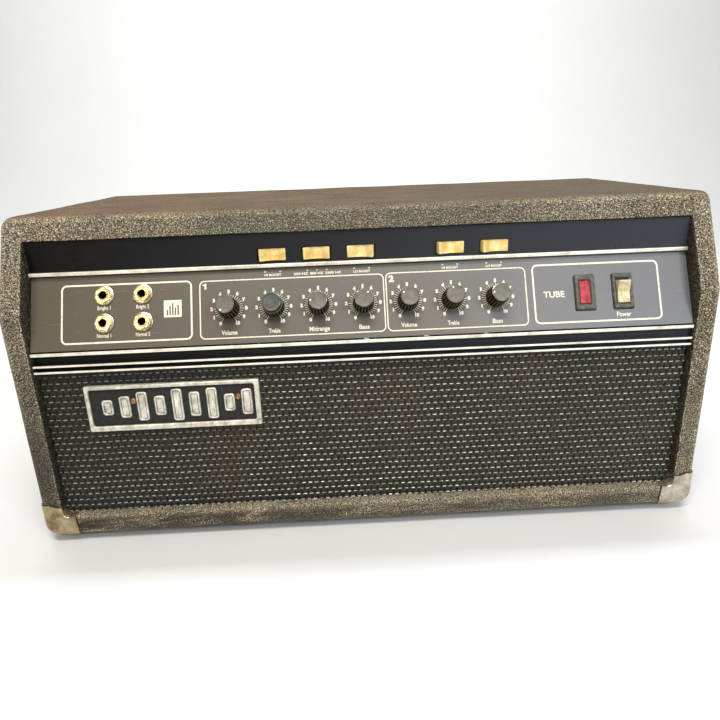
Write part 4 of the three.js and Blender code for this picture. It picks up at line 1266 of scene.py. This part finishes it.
def printing():
    """Boxes, dial rings, numerals and generic labels, printed on the panel."""
    b = Build()

    def put(part, x, v):
        b.add(part, panel_at(x, v, 0.02))

    def stamp(x0, x1, y0, y1):
        return slab(rect(x0, x1, y0, y1), 0, PRINT, 0)

    def boxed(x0, x1, v0, v1, wide, r=4.2):
        put(line(rounded(x0, x1, v0, v1, r, 7), wide, True), 0, 0)

    boxed(-259, -149, -1.2, 49.0, 1.5)
    boxed(-141.6, 17.0, -2.1, 48.3, 1.0)
    boxed(19.2, 141.1, -2.2, 48.7, 1.0)
    boxed(147.8, 258.4, -1.5, 50.0, 1.5)
    for i in range(7):
        x = knob_x(i)
        for k in range(31):
            a = math.radians(-150 + 10 * k)
            long = k % 3 == 0
            r0, r1 = (9.3, 12.8) if long else (9.3, 12.2)
            d = Vector((math.sin(a), math.cos(a)))
            put(line([d * r0, d * r1], 0.46 if long else 0.36), x, KNOB_V)
        for k in range(11):
            a = math.radians(-150 + 30 * k)
            put(letters(str(k), 2.7, None, 0.09), x + 14.8 * math.sin(a), KNOB_V + 14.8 * math.cos(a))
    names = ["Volume", "Treble", "Midrange", "Bass", "Volume", "Treble", "Bass"]
    widths = [13.5, 10, 17.5, 9, 13.5, 10, 9]
    for i, (n, w) in enumerate(zip(names, widths)):
        put(letters(n, 3.7, w, 0.03), knob_x(i), 2.6)
    one = [(-0.2, -2.6), (1.5, -2.6), (1.5, 2.6), (0.3, 2.6), (-0.5, 1.9), (-1.9, 1.5), (-1.9, 0.5),
           (-0.2, 0.9)]
    put(slab(one, 0, PRINT, 0), -137.4, 43.7)
    put(letters("2", 5.2, 4.6, 0.06), 23.9, 43.7)
    put(letters("Power", 4.2, 12.6, 0.012), SWITCH_X - 0.4, 3.7)
    put(letters("TUBE", 5.2, 18.5, 0.02), 165.3, 23.6)
    for i, x in enumerate((centre("input_jack_1").x, centre("input_jack_2").x)):
        put(letters(f"Bright {i + 1}", 3.2, 11, 0.012), x, 28.6)
        put(letters(f"Normal {i + 1}", 3.2, 12, 0.012), x, 4.6)
    # a square plate with level bars left open in it
    x, v = -165.0, 25.6
    bars = [(-4.6, 4.6), (-2.3, 8.0), (0.0, 10.4), (2.3, 6.6), (4.6, 8.8)]
    for y in (5.6, -7.4):
        put(slab(rounded(-7.6, 7.6, y, y + 1.8, 0.6, 3), 0, PRINT, 0), x, v)
    edges = [-7.6] + [e for c, _ in bars for e in (c - 0.62, c + 0.62)] + [7.6]
    for e0, e1 in zip(edges[::2], edges[1::2]):
        put(stamp(e0, e1, -5.7, 5.7), x, v)
    for c, tall in bars:
        put(stamp(c - 0.64, c + 0.64, tall - 5.6, 5.7), x, v)
    for i, word in ((1, "HI BOOST"), (3, "LO BOOST"), (5, "HI BOOST"), (6, "LO BOOST")):
        put(letters(word, 1.9, 14.5, 0.03), knob_x(i), 51.5)
        for dx in (-6.5, 6.5):
            put(stamp(dx - 0.9, dx + 0.9, -0.5, 0.5), knob_x(i), 54.4)
    for dx, wide, word in ((-14.3, 12.5, "250 HZ"), (-0.6, 11.5, "800 HZ"), (13.6, 14, "2500 HZ")):
        put(letters(word, 1.9, wide, 0.03), knob_x(2) + dx, 51.5)
        put(stamp(-0.7, 0.7, -0.5, 0.5), knob_x(2) + dx * 0.6, 54.4)
    b.make("panel_print", M["ink"], slot="panel_print", sharp=60)


printing()

# ---------------------------------------------------------------- inside and rear
for node, mat, bev in (("preamp_chassis", "steel", 0.3), ("power_amp_chassis", "steel", 0.3),
                       ("mains_transformer", "iron", 0.6), ("output_transformer", "iron", 0.6),
                       ("choke", "iron", 0.6), ("rear_guard", "matt_black", 0.2),
                       ("rear_panel", "matt_black", 0.3), ("fan_frame", "black_plastic", 0.3),
                       ("fan_rotor", "black_plastic", 0.2), ("mains_inlet", "black_plastic", 0.3),
                       ("speaker_jack_1", "nickel", 0.2), ("speaker_jack_2", "nickel", 0.2)):
    finish_node(node, M[mat], bevel=bev)


def power_tubes():
    base = [(0, 0.2), (15.6, 0.2), (16.9, 1.2), (16.9, 19.5), (16.2, 21.0), (15.0, 21.8), (0, 21.8)]
    glass = [(0, 109.4), (4, 109.2), (7, 108.3), (9, 105.8), (15.5, 102.5), (20.5, 96.5), (22.9, 88),
             (23.3, 78), (23.3, 46), (22.6, 38), (19.6, 29.5), (15.8, 23.6), (15.2, 21.9), (0, 21.9)]
    getter = [(0, 106.8), (5, 106.2), (12, 102.6), (17.5, 97.4), (20.2, 91.5), (19.6, 91.2), (16.6, 96.2),
              (11.2, 101.2), (4.6, 105.2), (0, 105.6)]
    for k in range(6):
        name = f"power_tube_{k + 1}"
        c, s = centre(name), size(name)
        at = shift(c.x, c.y, c.z - s.z / 2) @ spin(20 * k)
        solid(lathe(base, 36), at, name + "_base", "black_plastic", "black_plastic")
        solid(lathe(glass, 40), at, name + "_envelope", "glass", "tube_glass", replaces=(name,))
        b = Build()
        for z in (36, 86):
            b.add(slab([(19.4 * math.cos(a),
                         15.5 * math.sin(a)) for a in (2 * math.pi * j / 24 for j in range(24))],
                       z, z + 0.8, 0.2), at)
        b.make(name + "_mica", M["mica"], slot="tube_inside")
        b = Build().add(lathe(getter, 32), at)
        b.add(slab(rounded(-14.5, 14.5, -8.5, 8.5, 7.5, 6), 37.2, 85.6, 0.8), at)
        for x in (-15.4, 15.4):
            b.add(block(x - 0.8, x + 0.8, -5, 5, 37.2, 85.6, 0.3), at)
        for j in range(4):
            a = math.pi / 4 + math.pi / 2 * j
            b.add(lathe([(0, 22.2), (0.8, 22.2), (0.8, 35.8), (0, 35.8)], 8),
                  at @ shift(*polar(9, a), 0))
        b.make(name + "_plates", M["plate"], slot="tube_inside")


def hexagonal(r, high):
    """Bolt head with a washer, standing on z 0."""
    wide = [polar(r, math.pi * k / 3) for k in range(6)]
    return [lathe([(0, 0.05), (r * 1.35, 0.05), (r * 1.4, 0.5), (r * 1.2, 0.9), (0, 0.9)], 20),
            slab(wide, 0.95, high, 0.4)]


def inside():
    for name in ("mains_transformer", "output_transformer", "choke"):
        c, s = centre(name), size(name)
        b = Build()
        inset = min(8.0, s.x * 0.14)
        for sx in (-1, 1):
            for sy in (-1, 1):
                for part in hexagonal(3.4, 4.2):
                    b.add(part, shift(c.x + sx * (s.x / 2 - inset), c.y + sy * (s.y / 2 - inset),
                                      c.z + s.z / 2))
        b.make(name + "_bolts", M["screw"], slot="screw_steel")
    head = lathe([(0, 0.7), (0.5, 0.7), (0.9, 1.3), (2.4, 1.2), (3.2, 0.6), (3.3, 0.05), (0, 0.05)], 20)
    for name, zs, xs in (("rear_panel", (181, 267), (-262, -131, 0, 131, 262)),
                         ("rear_guard", (75, 164), (-268, -90, 90, 268))):
        b = Build()
        face = centre(name).y + size(name).y / 2
        for z in zs:
            for x in xs:
                b.add(head, rear_at(x, face, z))
        b.make(name + "_screws", M["screw"], slot="screw_steel")
    c = centre("mains_inlet")
    face = c.y + size("mains_inlet").y / 2
    b = Build()
    for x, z in ((-7, 1.5), (7, 1.5), (0, -4.5)):
        b.add(block(-1.1, 1.1, -2.6, 2.6, -9.5, -1.5, 0.3), rear_at(c.x + x, face, c.z + z))
    b.make("mains_inlet_blades", M["nickel"], slot="nickel")


power_tubes()
inside()


# ---------------------------------------------------------------- floor and light
def stage():
    sweep = [(-4000, 0), (-2000, 0), (-600, 0), (0, 0), (600, 0), (1500, 0)] + arc(1500, 1100, 1100, -90, 0,
            14)[1:]
    sweep += [(2600, 2200), (2600, 3400)]
    xs = [-5000, -2500, -1000, 0, 1000, 2500, 5000]
    verts = [(x, y, z) for y, z in sweep for x in xs]
    n = len(xs)
    faces = [(j * n + i, j * n + i + 1, (j + 1) * n + i + 1, (j + 1) * n + i)
             for j in range(len(sweep) - 1) for i in range(n - 1)]
    mesh = bpy.data.meshes.new("floor")
    mesh.from_pydata([(x * MM, y * MM, z * MM) for x, y, z in verts], [], faces)
    mesh.materials.append(floor_mat())
    mesh.polygons.foreach_set("use_smooth", [True] * len(mesh.polygons))
    obj = bpy.data.objects.new("floor", mesh)
    scene.collection.objects.link(obj)

    def area(name, where, aim, size, power, colour):
        data = bpy.data.lights.new(name, "AREA")
        data.shape = "RECTANGLE"
        data.size, data.size_y = size
        data.energy = power
        data.color = colour
        ob = bpy.data.objects.new(name, data)
        d = Vector(aim) - Vector(where)
        ob.rotation_mode = "QUATERNION"
        ob.rotation_quaternion = d.to_track_quat("-Z", "Y")
        ob.location = where
        scene.collection.objects.link(ob)

    area("overhead", (-0.1, -0.95, 1.75), (0, 0, 0.15), (0.8, 0.5), 28, (1.0, 0.97, 0.92))
    area("front_left", (-0.8, -1.4, 1.0), (-0.1, 0, 0.2), (0.4, 0.4), 4, (1.0, 0.82, 0.58))
    area("front_right", (0.75, -1.35, 0.95), (0.15, 0, 0.15), (0.5, 0.5), 13, (0.88, 0.94, 1.0))
    area("backdrop", (0, 0.6, 2.6), (0, 2.4, 0.7), (2.5, 0.6), 90, (1, 1, 1))
    world = bpy.data.worlds.new("world")
    world.use_nodes = True
    world.node_tree.nodes["Background"].inputs[0].default_value = (1.0, 0.99, 0.97, 1)
    world.node_tree.nodes["Background"].inputs[1].default_value = 0.22
    scene.world = world
    scene.view_settings.view_transform = "Standard"


stage()
